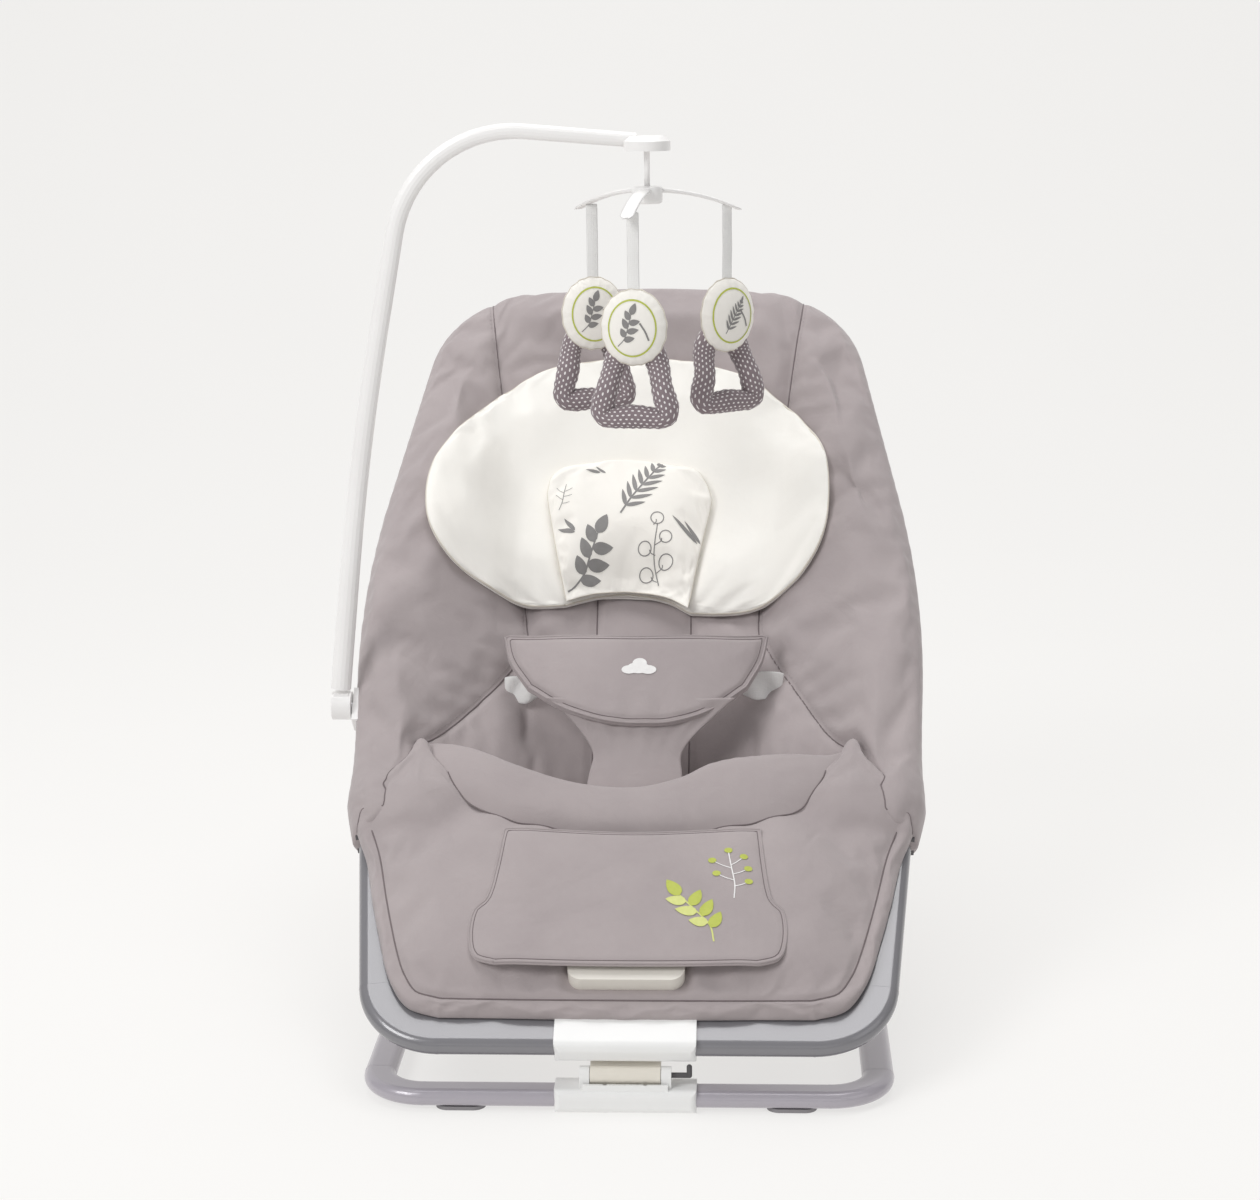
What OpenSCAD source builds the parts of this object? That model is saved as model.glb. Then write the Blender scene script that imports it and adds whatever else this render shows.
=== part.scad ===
// Bouncer seat: floor loop, folding front hinge, seat frame, reclining backrest, padded cover,
// vibration unit, harness and a side arm with a turning mobile.
// Origin: underside centre of the front housing, on the floor. +X right, +Y to the rear, +Z up.

/* [Base] */
// Width of the floor loop, outside to outside
base_w = 430; // [400:5:460]
// Depth of the floor loop, outside to outside
base_depth = 545; // [520:5:580]
// Width of the floor tube's flat oval section
base_tube_w = 26; // [24:1:28]
// Height of the floor tube's section
base_tube_h = 14; // [12:1:14]
// Bend radius of the floor loop's corners, at the tube's centre
base_corner_r = 40; // [32:1:60]
// Thickness of the rubber feet
foot_h = 3; // [3:1:4]

/* [Front housings] */
// Length of both front housings across the object
housing_len = 113; // [104:1:124]
// Height of the lower housing
low_housing_h = 19.5; // [19:0.5:21]
// Depth of the lower housing
low_housing_d = 32; // [31:1:36]
// Depth of the upper housing along the seat plane
up_housing_d = 39; // [38:1:42]
// Thickness of the upper housing
up_housing_t = 22; // [21:1:24]

/* [Hinge] */
// Height of the fold pin's axis
fold_z = 28; // [27:0.5:29]
// Radius of the fold pin and the bounce pin
pin_r = 5; // [4:0.5:5]
// Radial clearance of every turning pin
play = 0.1; // [0.05:0.01:0.15]

/* [Seat frame] */
// Slope of the seat frame
seat_angle = 31; // [29:1:33]
// Height of the seat frame's front bar
bar_z = 56.5; // [56:0.5:60]
// Distance of the front bar's axis behind the origin
bar_y = 8; // [7:1:10]
// Width of the seat and back tubes' flat oval section
tube_w = 34; // [32:1:36]
// Thickness of the seat and back tubes
tube_t = 16; // [15:1:17]
// Wall of every steel tube
wall = 1.4; // [1.2:0.1:1.6]
// Outward flare of the seat rails, each side
flare = 6.4; // [5:0.2:7]
// Distance from the front bar to the recline hubs
hub_v = 235; // [230:1:240]

/* [Backrest] */
// Slope of the backrest at its most upright setting
back_angle = 46; // [44:1:48]
// Depth of the seat bucket behind the backrest tube
bucket = 70; // [60:1:72]
// Thickness of the padding
pad_t = 18; // [14:1:20]
// Margin of the cover outside the backrest tube's axis
cover_out = 22; // [21:1:24]

/* [Toy arm] */
// Height of the mobile's hub
mobile_z = 704; // [690:1:715]
// Offset of the mobile's axis from the middle
mobile_x = 13; // [8:1:18]
// Reach of the mobile's three arms
spider_r = 71; // [66:1:76]
// Length of the toys' ribbons
ribbon_len = 56; // [50:1:62]

/* [Hidden] */
$fn = 48;

// Colours
white = [0.97, 0.97, 0.96];
steel = [0.70, 0.70, 0.72];
frame_grey = [0.60, 0.60, 0.62];
base_grey = [0.66, 0.64, 0.68];
mauve = [0.64, 0.60, 0.60];
cream = [0.95, 0.94, 0.92];
rubber = [0.30, 0.30, 0.31];
dark = [0.25, 0.25, 0.26];

// Floor loop
tube_z = foot_h + base_tube_h / 2;
base_half = base_w / 2 - base_tube_w / 2;
base_front = -base_tube_w / 2;
base_rear = base_front + base_depth - base_tube_w / 2;
base_gap = 18;
base_in_w = base_tube_w - 2 * wall;
base_in_h = base_tube_h - 2 * wall;

// Hinge: fold axis, then the bounce axis under the seat frame's front bar
fold_y = -2;
bounce_drop = 17;
bounce_y = bar_y + bounce_drop * sin(seat_angle);
bounce_z = bar_z - bounce_drop * cos(seat_angle);
link_half = 28;
lug_t = 8;
pin_half = 33;
lug_r = 7;
cheek_r = 8.5;
screw_x = 45;
lever_r = 2.2;
lever_x = 50.8;
lever_h = 7;

// Seat frame: corner radius and the rails' line
corner_r = 52;
corner_end_half = 201.5;
rail_end_v = hub_v - 38;
hub_y = bar_y + hub_v * cos(seat_angle);
hub_z = bar_z + hub_v * sin(seat_angle);
corner_turn = 90 - flare;
corner_end_v = corner_r * (1 - cos(corner_turn));
front_half = corner_end_half - corner_r * sin(corner_turn);
rail_len = (rail_end_v - corner_end_v) / cos(flare);
rail_end_x = corner_end_half + rail_len * sin(flare);

inner_w = tube_w - 2 * wall;
inner_t = tube_t - 2 * wall;

// Recline hubs
hub_in = 206;
hub_out = 240;
hub_mid = (hub_in + hub_out) / 2;
hub_gap = 0.3;
hub_r = 26;
button_r = 10;

// Backrest tube: a straight, a long side arc, a straight, a shoulder and a shallow top arc
back_start = [225, 38];
back_head = 86;
side_len = 70;
side_r = 800;
side_turn = 15;
upper_len = 160;
shoulder_r = 85;
shoulder_turn = 71;
function along(p, heading, d) = [p[0] + d * cos(heading), p[1] + d * sin(heading)];
function turned(p, heading, r, turn) =
    [p[0] + r * (sin(heading + turn) - sin(heading)), p[1] + r * (cos(heading) - cos(heading + turn))];
side_end = along(back_start, back_head, side_len);
side_arc_end = turned(side_end, back_head, side_r, side_turn);
upper_head = back_head + side_turn;
upper_end = along(side_arc_end, upper_head, upper_len);
top_head = upper_head + shoulder_turn;
shoulder_end = turned(upper_end, upper_head, shoulder_r, shoulder_turn);
top_r = shoulder_end[0] / sin(top_head);
top_turn = 2 * (180 - top_head);
top_l = shoulder_end[1] + top_r * (1 + cos(top_head));
side_centre = along(side_end, back_head + 90, side_r);
shoulder_centre = along(upper_end, upper_head + 90, shoulder_r);

// Cover
edge_in = 42;
rim = 15;
panel_low = 88;
panel_high = 152;

// Toy arm
arm_l = 104;
arm_lift = 5;
arm_y = hub_y + arm_l * cos(back_angle) - arm_lift * sin(back_angle);
arm_z = hub_z + arm_l * sin(back_angle) + arm_lift * cos(back_angle);
knuckle_in = 254;
knuckle_out = 271;
head_z = 745;
arm_pin_r = 3;

// Vibration unit, in the seat frame
vib_w = 94;
vib_v0 = 30;
vib_v1 = 96;
vib_top = 34;
vib_mid = 8;
vib_low = -18;
vib_wall = 2.2;
vib_r = 12;
button_v = 76;
motor_v = 47;
motor_n = -4;

// Flap
flap_v = 188;
flap_n = 37;
flap_t = 5;

// --- Placing ---
module on_seat() { translate([0, bar_y, bar_z]) rotate([seat_angle, 0, 0]) children(); }
module on_back() { translate([0, hub_y, hub_z]) rotate([back_angle, 0, 0]) children(); }
module both() { children(); mirror([1, 0, 0]) children(); }
module along_x(x0, x1) {
    translate([x0, 0, 0]) rotate([90, 0, 90]) linear_extrude(height = x1 - x0) children();
}
module rod_x(x0, x1, r) { translate([x0, 0, 0]) rotate([0, 90, 0]) cylinder(r = r, h = x1 - x0); }

// --- Profiles ---
module oval(w, t) {
    union() {
        square([w - t, t], center = true);
        for (s = [-1, 1]) translate([s * (w - t) / 2, 0]) circle(d = t, $fn = 32);
    }
}
module rounded(w, h, r) {
    union() {
        square([w - 2 * r, h], center = true);
        square([w, h - 2 * r], center = true);
        for (x = [-1, 1], y = [-1, 1]) translate([x * (w / 2 - r), y * (h / 2 - r)]) circle(r = r);
    }
}

// Bent bar heading along +X: [0, length] is a straight, [radius, angle] with a radius is a left bend.
// Its lengths meet inside short collars. The children are the bar's profile and the collar's
module run(steps, i = 0) {
    trim = 0.3;
    s = steps[i];
    if (s[0] == 0) {
        translate([i > 0 ? trim : 0, 0, 0]) rotate([90, 0, 90])
            linear_extrude(height = s[1] - trim * (i > 0 && i < len(steps) - 1 ? 2 : 1)) children(0);
        translate([s[1], 0, 0]) collar_and_rest(steps, i) { children(0); children(1); }
    } else {
        cut = trim / s[0] * 180 / PI;
        past_bend(s[0], cut) bend(s[0], s[1] - 2 * cut) children(0);
        past_bend(s[0], s[1]) collar_and_rest(steps, i) { children(0); children(1); }
    }
}
module bend(r, angle) {
    translate([0, r, 0]) rotate([0, 0, -90])
        rotate_extrude(angle = angle, $fn = r > 200 ? 192 : 48) translate([r, 0]) children();
}
module past_bend(r, angle) {
    translate([r * sin(angle), r * (1 - cos(angle)), 0]) rotate([0, 0, angle]) children();
}
module collar_and_rest(steps, i) {
    if (i < len(steps) - 1) {
        translate([-1, 0, 0]) rotate([90, 0, 90]) linear_extrude(height = 2) children(1);
        run(steps, i + 1) { children(0); children(1); }
    }
}

// Closed solid between two surfaces, each a function of (u, v) from 0 to 1
module slab(nu, nv, top, bottom) {
    n = (nu + 1) * (nv + 1);
    points = concat([for (j = [0:nv], i = [0:nu]) top(i / nu, j / nv)],
        [for (j = [0:nv], i = [0:nu]) bottom(i / nu, j / nv)]);
    id = function(i, j) j * (nu + 1) + i;
    upper = [for (j = [0:nv - 1], i = [0:nu - 1]) each [
        [id(i, j), id(i, j + 1), id(i + 1, j)], [id(i + 1, j), id(i, j + 1), id(i + 1, j + 1)]]];
    lower = [for (f = upper) [f[2] + n, f[1] + n, f[0] + n]];
    rim_ids = concat([for (i = [0:nu]) id(i, 0)], [for (j = [1:nv]) id(nu, j)],
        [for (i = [nu - 1:-1:0]) id(i, nv)], [for (j = [nv - 1:-1:1]) id(0, j)]);
    m = len(rim_ids);
    side = [for (k = [0:m - 1]) let (a = rim_ids[k], b = rim_ids[(k + 1) % m]) each [
        [a, b, a + n], [b, b + n, a + n]]];
    polyhedron(points, concat(upper, lower, side));
}
function clamp(t) = max(0, min(1, t));
function mix(a, b, t) = a + (b - a) * t;

// --- Cover surfaces, in the backrest frame ---
// Half-width of the backrest at height l, out from the tube's axis by `out`
function rail_x(l, out) =
    l < side_end[1] ? back_start[0] + (l - back_start[1]) / tan(back_head) + out
    : l < side_arc_end[1] ? side_centre[0] + sqrt(pow(side_r + out, 2) - pow(l - side_centre[1], 2))
    : l < upper_end[1] - out / 4
        ? side_arc_end[0] + out / sin(upper_head) + (l - side_arc_end[1]) / tan(upper_head)
    : shoulder_centre[0]
        + sqrt(max(0, pow(shoulder_r + out, 2) - pow(l - shoulder_centre[1], 2)));
// Half-width of the middle panel
function panel_x(l) = mix(panel_low, panel_high, clamp((l - 215) / 335));
// Depth of the bucket on the middle line
function depth(l) = bucket - (bucket + rim - 1.8) * pow(clamp((l - 300) / (top_l - 34 - 300)), 2);
function rim_t(x, l) = clamp(abs(x) / (rail_x(l, cover_out) - edge_in));
// Front and rear faces of the padding
function face(x, l) = -depth(l) + (depth(l) + rim) * pow(rim_t(x, l), 2.6);
function thin(x, l) = max(clamp((rim_t(x, l) - 0.86) / 0.14), clamp((l - 500) / 30));
// True over the tube and a little inside it, where the padding stays thin enough to clear it
function over_tube(x, l) =
    l < upper_end[1] ? abs(x) > rail_x(l, cover_out) - 51
    : abs(x) < shoulder_end[0] ? norm([x, l - top_l + top_r]) > top_r - 39
    : norm([abs(x) - shoulder_centre[0], l - shoulder_centre[1]]) > shoulder_r - 39;
function rear_face(x, l) =
    let (rear = face(x, l) - mix(pad_t, 5, thin(x, l)))
    over_tube(x, l) ? max(rear, min(tube_t / 2 + 0.4, face(x, l) - 3)) : rear;

// --- Base ---
module base_loop() {
    side = base_rear - 2 * base_corner_r;
    rear = 2 * (base_half - base_corner_r);
    steps = [[0, base_half - base_corner_r - base_gap], [base_corner_r, 90], [0, side],
        [base_corner_r, 90], [0, rear], [base_corner_r, 90], [0, side], [base_corner_r, 90],
        [0, base_half - base_corner_r - base_gap]];
    translate([base_gap, 0, tube_z]) run(steps) { children(0); children(1); }
}
module base_tube() {
    color(base_grey) difference() {
        base_loop() { oval(base_tube_w, base_tube_h); oval(base_tube_w + 0.2, base_tube_h + 0.2); }
        base_loop() { oval(base_in_w, base_in_h); oval(base_in_w + 0.2, base_in_h + 0.2); }
    }
}
module base_housing_blank() {
    intersection() {
        translate([0, 0, low_housing_h / 2]) along_x(-housing_len / 2, housing_len / 2)
            rounded(low_housing_d, low_housing_h, 6);
        translate([0, 0, -1]) linear_extrude(height = low_housing_h + 2)
            rounded(housing_len, low_housing_d, 5);
    }
}
module base_cavity() {
    translate([0, 0, tube_z]) along_x(-housing_len, housing_len)
        oval(base_tube_w + 0.3, base_tube_h + 0.3);
    translate([0, 0, tube_z]) both() for (y = [-11, 11]) translate([screw_x - 29, y, 0])
        cylinder(r = 1.6, h = 60, center = true);
}
module base_housing_top() {
    color(white) difference() {
        union() {
            difference() {
                base_housing_blank();
                translate([-100, -50, -1]) cube([200, 100, 1 + tube_z]);
            }
            both() translate([0, fold_y, 0]) {
                translate([0, 0, fold_z]) rod_x(link_half + 0.5, link_half + 0.5 + lug_t, lug_r);
                translate([link_half + 0.5, -lug_r, low_housing_h - 4])
                    cube([lug_t, 2 * lug_r, fold_z - low_housing_h + 4]);
            }
            translate([-link_half - 6, -13.4, low_housing_h - 4]) cube([2 * link_half + 12, 3, 8]);
        }
        base_cavity();
        translate([0, fold_y, fold_z]) rod_x(-pin_half - 0.2, pin_half + 0.2, pin_r + play);
        translate([0, fold_y, fold_z]) rod_x(pin_half, 60, lever_r + play);
    }
}
module base_housing_bottom() {
    color(white) difference() {
        intersection() {
            base_housing_blank();
            translate([-100, -50, -1]) cube([200, 100, 1 + tube_z - 0.05]);
        }
        base_cavity();
    }
}
module base_housing_screws() {
    color(steel) both() for (y = [-11, 11]) translate([screw_x - 29, y, 0.6]) {
        cylinder(r = 1.55, h = 14);
        intersection() { cylinder(r = 1.55, h = 1.2); cube(8, center = true); }
    }
}
module foot_pad() { linear_extrude(height = foot_h) oval(40, 20); }
module front_feet() {
    color(rubber) both() translate([base_half - 70, 0, 0]) foot_pad();
}
module rear_feet() {
    color(rubber) both() translate([base_half - 70, base_rear, 0]) foot_pad();
}
module fold_pin() {
    color(steel) translate([0, fold_y, fold_z]) rod_x(-pin_half, pin_half, pin_r);
}

// --- Hinge link and bounce spring ---
module hinge_link() {
    dy = bounce_y - fold_y;
    dz = bounce_z - fold_z;
    reach = norm([dy, dz]);
    color(cream) difference() {
        translate([0, fold_y, fold_z]) rotate([atan2(dz, dy), 0, 0]) union() {
            rod_x(-link_half, link_half, 7.5);
            translate([0, reach, 0]) rod_x(-link_half, link_half, 7.5);
            translate([-link_half, 0, -5]) cube([2 * link_half, reach, 10]);
        }
        translate([0, fold_y, fold_z]) rod_x(-40, 40, pin_r + play);
        translate([0, bounce_y, bounce_z]) rod_x(-40, 40, pin_r + 0.02);
        translate([0, bounce_y, bounce_z]) rod_x(-18, 18, 9);
    }
}
module bounce_pin() {
    color(steel) translate([0, bounce_y, bounce_z]) rod_x(-38.5, 38.5, pin_r);
}
module bounce_spring() {
    color(steel) translate([0, bounce_y, bounce_z]) for (i = [-4:4]) translate([i * 3.4, 0, 0])
        rotate([0, 90, 0]) rotate_extrude() translate([6.4, 0]) circle(r = 1.25, $fn = 24);
}
module fold_lever() {
    color(dark) translate([0, fold_y, fold_z]) {
        rod_x(pin_half + 0.4, lever_x, lever_r);
        translate([lever_x, 0, 0]) sphere(r = lever_r);
        translate([lever_x, 0, 0]) cylinder(r = lever_r, h = lever_h);
        translate([lever_x, 0, lever_h]) sphere(r = lever_r);
    }
}

// --- Seat frame ---
module seat_path() {
    steps = [[0, rail_len], [corner_r, corner_turn], [0, 2 * front_half], [corner_r, corner_turn],
        [0, rail_len]];
    translate([-rail_end_x, rail_end_v, 0]) rotate([0, 0, -corner_turn])
        run(steps) { children(0); children(1); }
}
module rivet_holes(v) { both() translate([v[0], v[1], 0]) cylinder(r = 3, h = 60, center = true); }
module seat_tube() {
    color(frame_grey) on_seat() difference() {
        seat_path() { oval(tube_w, tube_t); oval(tube_w + 0.2, tube_t + 0.2); }
        seat_path() { oval(inner_w, inner_t); oval(inner_w + 0.2, inner_t + 0.2); }
        rivet_holes(seat_rivet);
    }
}
seat_rivet = [rail_end_x - 12 * sin(flare), rail_end_v - 12];
module seat_housing_blank() {
    intersection() {
        along_x(-housing_len / 2, housing_len / 2) rounded(up_housing_d, up_housing_t, 7);
        translate([0, 0, -30]) linear_extrude(height = 60) rounded(housing_len, up_housing_d, 5);
    }
}
module seat_cavity() {
    along_x(-housing_len, housing_len) oval(tube_w + 0.3, tube_t + 0.3);
    both() translate([screw_x, 0, -20]) cylinder(r = 1.6, h = 26);
}
module seat_housing_top() {
    color(white) on_seat() difference() {
        seat_housing_blank();
        seat_cavity();
        translate([-100, -50, -50]) cube([200, 100, 50]);
    }
}
module seat_housing_bottom() {
    color(white) on_seat() difference() {
        union() {
            difference() {
                seat_housing_blank();
                translate([-100, -50, -0.05]) cube([200, 100, 50]);
            }
            both() {
                translate([0, 0, -bounce_drop]) rod_x(link_half + 1, link_half + 9, cheek_r);
                translate([link_half + 1, -cheek_r, -bounce_drop]) cube([8, 2 * cheek_r, 8]);
            }
        }
        seat_cavity();
        translate([0, 0, -bounce_drop]) rod_x(-link_half - 0.6, link_half + 0.6, 8.1);
        translate([0, 0, -bounce_drop]) rod_x(-39, 39, pin_r + play);
    }
}
module seat_housing_screws() {
    color(steel) on_seat() both() translate([screw_x, 0, -10.6]) cylinder(r = 1.55, h = 2.5);
}

// --- Recline hubs, right side; the left side is the mirror image ---
module hub_seat() {
    on_seat() difference() {
        union() {
            translate([0, hub_v, 0]) rod_x(hub_in, hub_mid - hub_gap, hub_r);
            translate([hub_in, hub_v - 34, -10]) cube([hub_mid - hub_gap - hub_in, 34, 20]);
            translate([hub_in, hub_v - 36, -11]) cube([hub_out - 2 - hub_in, 8.1, 22]);
            translate([rail_end_x, rail_end_v, 0]) rotate([0, 0, -flare])
                translate([0, 1, 0]) rotate([90, 0, 0]) linear_extrude(height = 26)
                oval(inner_w - 0.4, inner_t - 0.4);
        }
        translate([0, hub_v, 0]) rod_x(hub_in - 1, hub_out, pin_r + 0.02);
        rivet_holes(seat_rivet);
    }
}
module hub_back() {
    on_back() difference() {
        union() {
            rod_x(hub_mid + hub_gap, hub_out, hub_r);
            translate([hub_mid + hub_gap, 0, -10]) cube([hub_out - hub_mid - hub_gap, 34, 20]);
            translate([hub_in + 2, 28, -11]) cube([hub_out - 2 - hub_in, 8.7, 22]);
            translate([back_start[0], back_start[1], 0]) rotate([0, 0, back_head - 90])
                translate([0, 25, 0]) rotate([90, 0, 0]) linear_extrude(height = 26)
                oval(inner_w - 0.4, inner_t - 0.4);
        }
        rod_x(hub_mid - 1, hub_out + 1, pin_r + play);
        rod_x(hub_out - 5, hub_out + 1, button_r + 0.3);
        rivet_holes(back_rivet);
    }
}
module hub_seat_right() { color(dark) hub_seat(); }
module hub_seat_left() { color(dark) mirror([1, 0, 0]) hub_seat(); }
module hub_back_right() { color(dark) hub_back(); }
module hub_back_left() { color(dark) mirror([1, 0, 0]) hub_back(); }
module recline_pins() {
    color(steel) on_seat() translate([0, hub_v, 0]) both() rod_x(hub_in, hub_out - 6, pin_r);
}
module recline_button() { rod_x(hub_out - 1.5, hub_out + 2, button_r); }
module recline_button_right() { color(white) translate([0, hub_y, hub_z]) recline_button(); }
module recline_button_left() {
    color(white) translate([0, hub_y, hub_z]) mirror([1, 0, 0]) recline_button();
}
module rivets(p) {
    both() translate([p[0], p[1], 0]) {
        cylinder(r = 2.9, h = tube_t + 0.2, center = true);
        for (s = [-1, 1]) translate([0, 0, s * (tube_t / 2 + 0.6)]) cylinder(r = 5, h = 1.1, center = true);
    }
}
module frame_rivets() { color(steel) on_seat() rivets(seat_rivet); }
module back_rivets() { color(steel) on_back() rivets(back_rivet); }

// --- Leg rest, knee roll and seat pocket ---
function leg_half(v) = v < 52 ? 150 + sqrt(pow(43, 2) - pow(52 - v, 2)) : 193 + (v - 52) * 0.235;
function leg_v(t) = mix(11, 188, pow(t, 1.3));
module leg_rest_pad() {
    edge = function(u, v) (2 * u - 1) * leg_half(leg_v(v));
    color(mauve) on_seat() difference() {
        slab(12, 12,
            function(u, v) [edge(u, v), leg_v(v), 30 - 10 * pow(2 * u - 1, 4) - 5 * pow(1 - v, 6)],
            function(u, v) [edge(u, v), leg_v(v), leg_v(v) < 30 ? up_housing_t / 2 + 0.4 : 9.4]);
        translate([-vib_w / 2 - 0.6, vib_v0 - 0.6, 0]) cube([vib_w + 1.2, vib_v1 - vib_v0 + 1.2, 60]);
    }
}
module knee_roll() {
    half = 165;
    front = function(t) 194 + 90 * pow(abs(t), 2.2);
    band = function(t) 54 - 18 * t * t;
    color(mauve) on_seat() slab(16, 6,
        function(u, v) let (t = 2 * u - 1)
            [t * half, front(t) + v * band(t), 27 + 11 * sin(180 * v)],
        function(u, v) let (t = 2 * u - 1) [t * half, front(t) + v * band(t), 12 - 8 * t * t]);
}
module seat_pocket() {
    half = 140;
    color(mauve) slab(12, 5,
        function(u, v) let (t = 2 * u - 1) [t * half, 224 + 40 * v, 190 - 30 * v + t * t],
        function(u, v) let (t = 2 * u - 1) [t * half, 218 + 38 * v, 174 - 30 * v + t * t]);
}

// --- Harness ---
module crotch_pad() {
    half = function(v) v < 0.45 ? mix(41, 32, v / 0.45) : mix(32, 62, pow((v - 0.45) / 0.55, 1.8));
    at = function(u, v, n) [(2 * u - 1) * half(v), 230 + 38 * v - 0.55 * n, 208 + 34 * v + 0.8 * n];
    color(mauve) slab(6, 8, function(u, v) at(u, v, 4), function(u, v) at(u, v, -4));
}
module belly_panel() {
    half = function(v) mix(46, 112, pow(v, 0.55));
    bend = function(t, v) -24 * pow(abs(t) * half(v) / 112, 2);
    at = function(u, v, n) let (t = 2 * u - 1)
        [t * half(v), 82 * v - 3 * v * (1 - t * t), bend(t, v) + n];
    color(mauve) translate([0, 274, 246]) rotate([back_angle, 0, 0])
        slab(12, 8, function(u, v) at(u, v, 7), function(u, v) at(u, v, 0));
}
module waist_straps() {
    color(white) both() slab(4, 6,
        function(u, v) [98 + 16 * v + u * 1.4, 304 + 34 * v, 252 + 4 * v + 13],
        function(u, v) [98 + 16 * v + u * 1.4, 304 + 34 * v, 252 + 4 * v - 13]);
}
module harness_buckle() {
    color(white) translate([0, 307, 255]) rotate([back_angle, 0, 0]) linear_extrude(height = 9)
        rounded(44, 30, 5);
}

// --- Vibration unit ---
module vib_plan(inset) {
    translate([0, (vib_v0 + vib_v1) / 2])
        rounded(vib_w - 2 * inset, vib_v1 - vib_v0 - 2 * inset, vib_r - inset);
}
module vibration_case_top() {
    color(white) on_seat() difference() {
        translate([0, 0, vib_mid]) linear_extrude(height = vib_top - vib_mid) vib_plan(0);
        translate([0, 0, vib_mid - 1])
            linear_extrude(height = vib_top - vib_mid + 1 - vib_wall) vib_plan(vib_wall);
        translate([0, button_v, 0]) cylinder(r = 9.3, h = 50);
    }
}
module vibration_case_bottom() {
    color(white) on_seat() difference() {
        translate([0, 0, vib_low]) linear_extrude(height = vib_mid - vib_low - 0.05) vib_plan(0);
        translate([0, 0, vib_low + vib_wall]) linear_extrude(height = 60) vib_plan(vib_wall);
        translate([-27, 66, vib_low - 1]) cube([54, 24, 10]);
    }
}
module battery_door() {
    color(white) on_seat() translate([-26.7, 66.3, vib_low]) cube([53.4, 23.4, vib_wall]);
}
module battery() {
    color(dark) on_seat() translate([0, 78, -1]) {
        rod_x(-24, 24, 12.5);
        rod_x(24, 25.5, 4);
    }
}
module vibration_motor() {
    color(steel) on_seat() translate([0, motor_v, motor_n]) {
        rod_x(-26, 2, 8);
        rod_x(2, 14, 1.5);
    }
}
module eccentric_weight() {
    color(steel) on_seat() translate([0, motor_v, motor_n]) difference() {
        rod_x(4, 12, 8);
        translate([3, -10, 0]) cube([10, 20, 10]);
        rod_x(3, 13, 1.55);
    }
}
module vibration_button() {
    color(cream) on_seat() translate([0, button_v, 0]) {
        translate([0, 0, vib_top - 4]) cylinder(r = 9, h = 5);
        translate([0, 0, vib_top - 7]) cylinder(r = 10.5, h = 3);
    }
}

// --- Flap over the vibration unit ---
module front_flap() {
    half = function(v) 111 + 18 * pow(sin(90 * clamp(v / 0.72)), 2) - 22 * pow(clamp((v - 0.9) / 0.1), 2);
    at = function(u, v, n) [(2 * u - 1) * half(v), flap_v - 143 * v, flap_n + n];
    color(mauve) on_seat() slab(8, 14, function(u, v) at(1 - u, v, flap_t), function(u, v) at(1 - u, v, 0));
}

// --- Backrest ---
module back_path() {
    steps = [[0, side_len], [side_r, side_turn], [0, upper_len], [shoulder_r, shoulder_turn],
        [top_r, top_turn], [shoulder_r, shoulder_turn], [0, upper_len], [side_r, side_turn],
        [0, side_len]];
    translate([back_start[0], back_start[1], 0]) rotate([0, 0, back_head])
        run(steps) { children(0); children(1); }
}
back_rivet = along(back_start, back_head, 13);
module back_tube() {
    color(frame_grey) on_back() difference() {
        back_path() { oval(tube_w, tube_t); oval(tube_w + 0.2, tube_t + 0.2); }
        back_path() { oval(inner_w, inner_t); oval(inner_w + 0.2, inner_t + 0.2); }
        rivet_holes(back_rivet);
    }
}
module back_pad() {
    low = 25;
    high = top_l + 19;
    l = function(v) mix(low, high, v);
    half = function(v) l(v) > top_l - 6 ? panel_x(l(v)) - 8 * (l(v) - top_l + 6) / 25 : panel_x(l(v)) - 0.4;
    x = function(u, v) (2 * u - 1) * half(v);
    color(mauve) on_back() slab(12, 22,
        function(u, v) [x(u, v), l(v), face(x(u, v), l(v))],
        function(u, v) [x(u, v), l(v), rear_face(x(u, v), l(v))]);
}
module wing() {
    low = 62;
    high = top_l + 4;
    l = function(v) mix(low, high, v);
    x = function(u, v) mix(panel_x(l(v)) + 0.4, max(panel_x(l(v)) + 4, rail_x(l(v), cover_out)), u);
    slab(9, 20,
        function(u, v) [x(u, v), l(v), face(x(u, v), l(v))],
        function(u, v) [x(u, v), l(v), rear_face(x(u, v), l(v))]);
}
module wing_right() { color(mauve) on_back() wing(); }
module wing_left() { color(mauve) on_back() mirror([1, 0, 0]) wing(); }

// --- Removable head support with its small cushion ---
head_low = 222;
head_high = 500;
function head_half(v) = 190 * pow(max(0.02, 1 - pow(abs(2 * v - 0.94) / 1.07, 2.5)), 0.5);
module head_support() {
    l = function(u, v) mix(head_low, head_high, v) - (1 - v) * 12 * pow(2 * u - 1, 2);
    x = function(u, v) -8 + (2 * u - 1) * head_half(v);
    color(cream) on_back() slab(12, 14,
        function(u, v) [x(u, v), l(u, v),
            face(x(u, v), l(u, v)) + 9.5 + 12 * sqrt(sin(15 + 150 * u) * sin(12 + 156 * v))],
        function(u, v) [x(u, v), l(u, v), face(x(u, v), l(u, v)) + 5]);
}
module head_cushion() {
    l = function(v) mix(226, 384, v);
    half = function(v) mix(60, 84, clamp(v / 0.7))
        * pow(max(0.05, 1 - pow(clamp((v - 0.6) / 0.42), 2.4)), 0.5);
    x = function(u, v) -12 + (2 * u - 1) * half(v);
    color(cream) on_back() slab(8, 10,
        function(u, v) [x(u, v), l(v),
            face(0, l(v)) + 25 + 13 * sqrt(sin(15 + 150 * u) * sin(12 + 156 * v))],
        function(u, v) [x(u, v), l(v), face(0, l(v)) + 24 + 6 * pow(2 * u - 1, 2)]);
}

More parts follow.
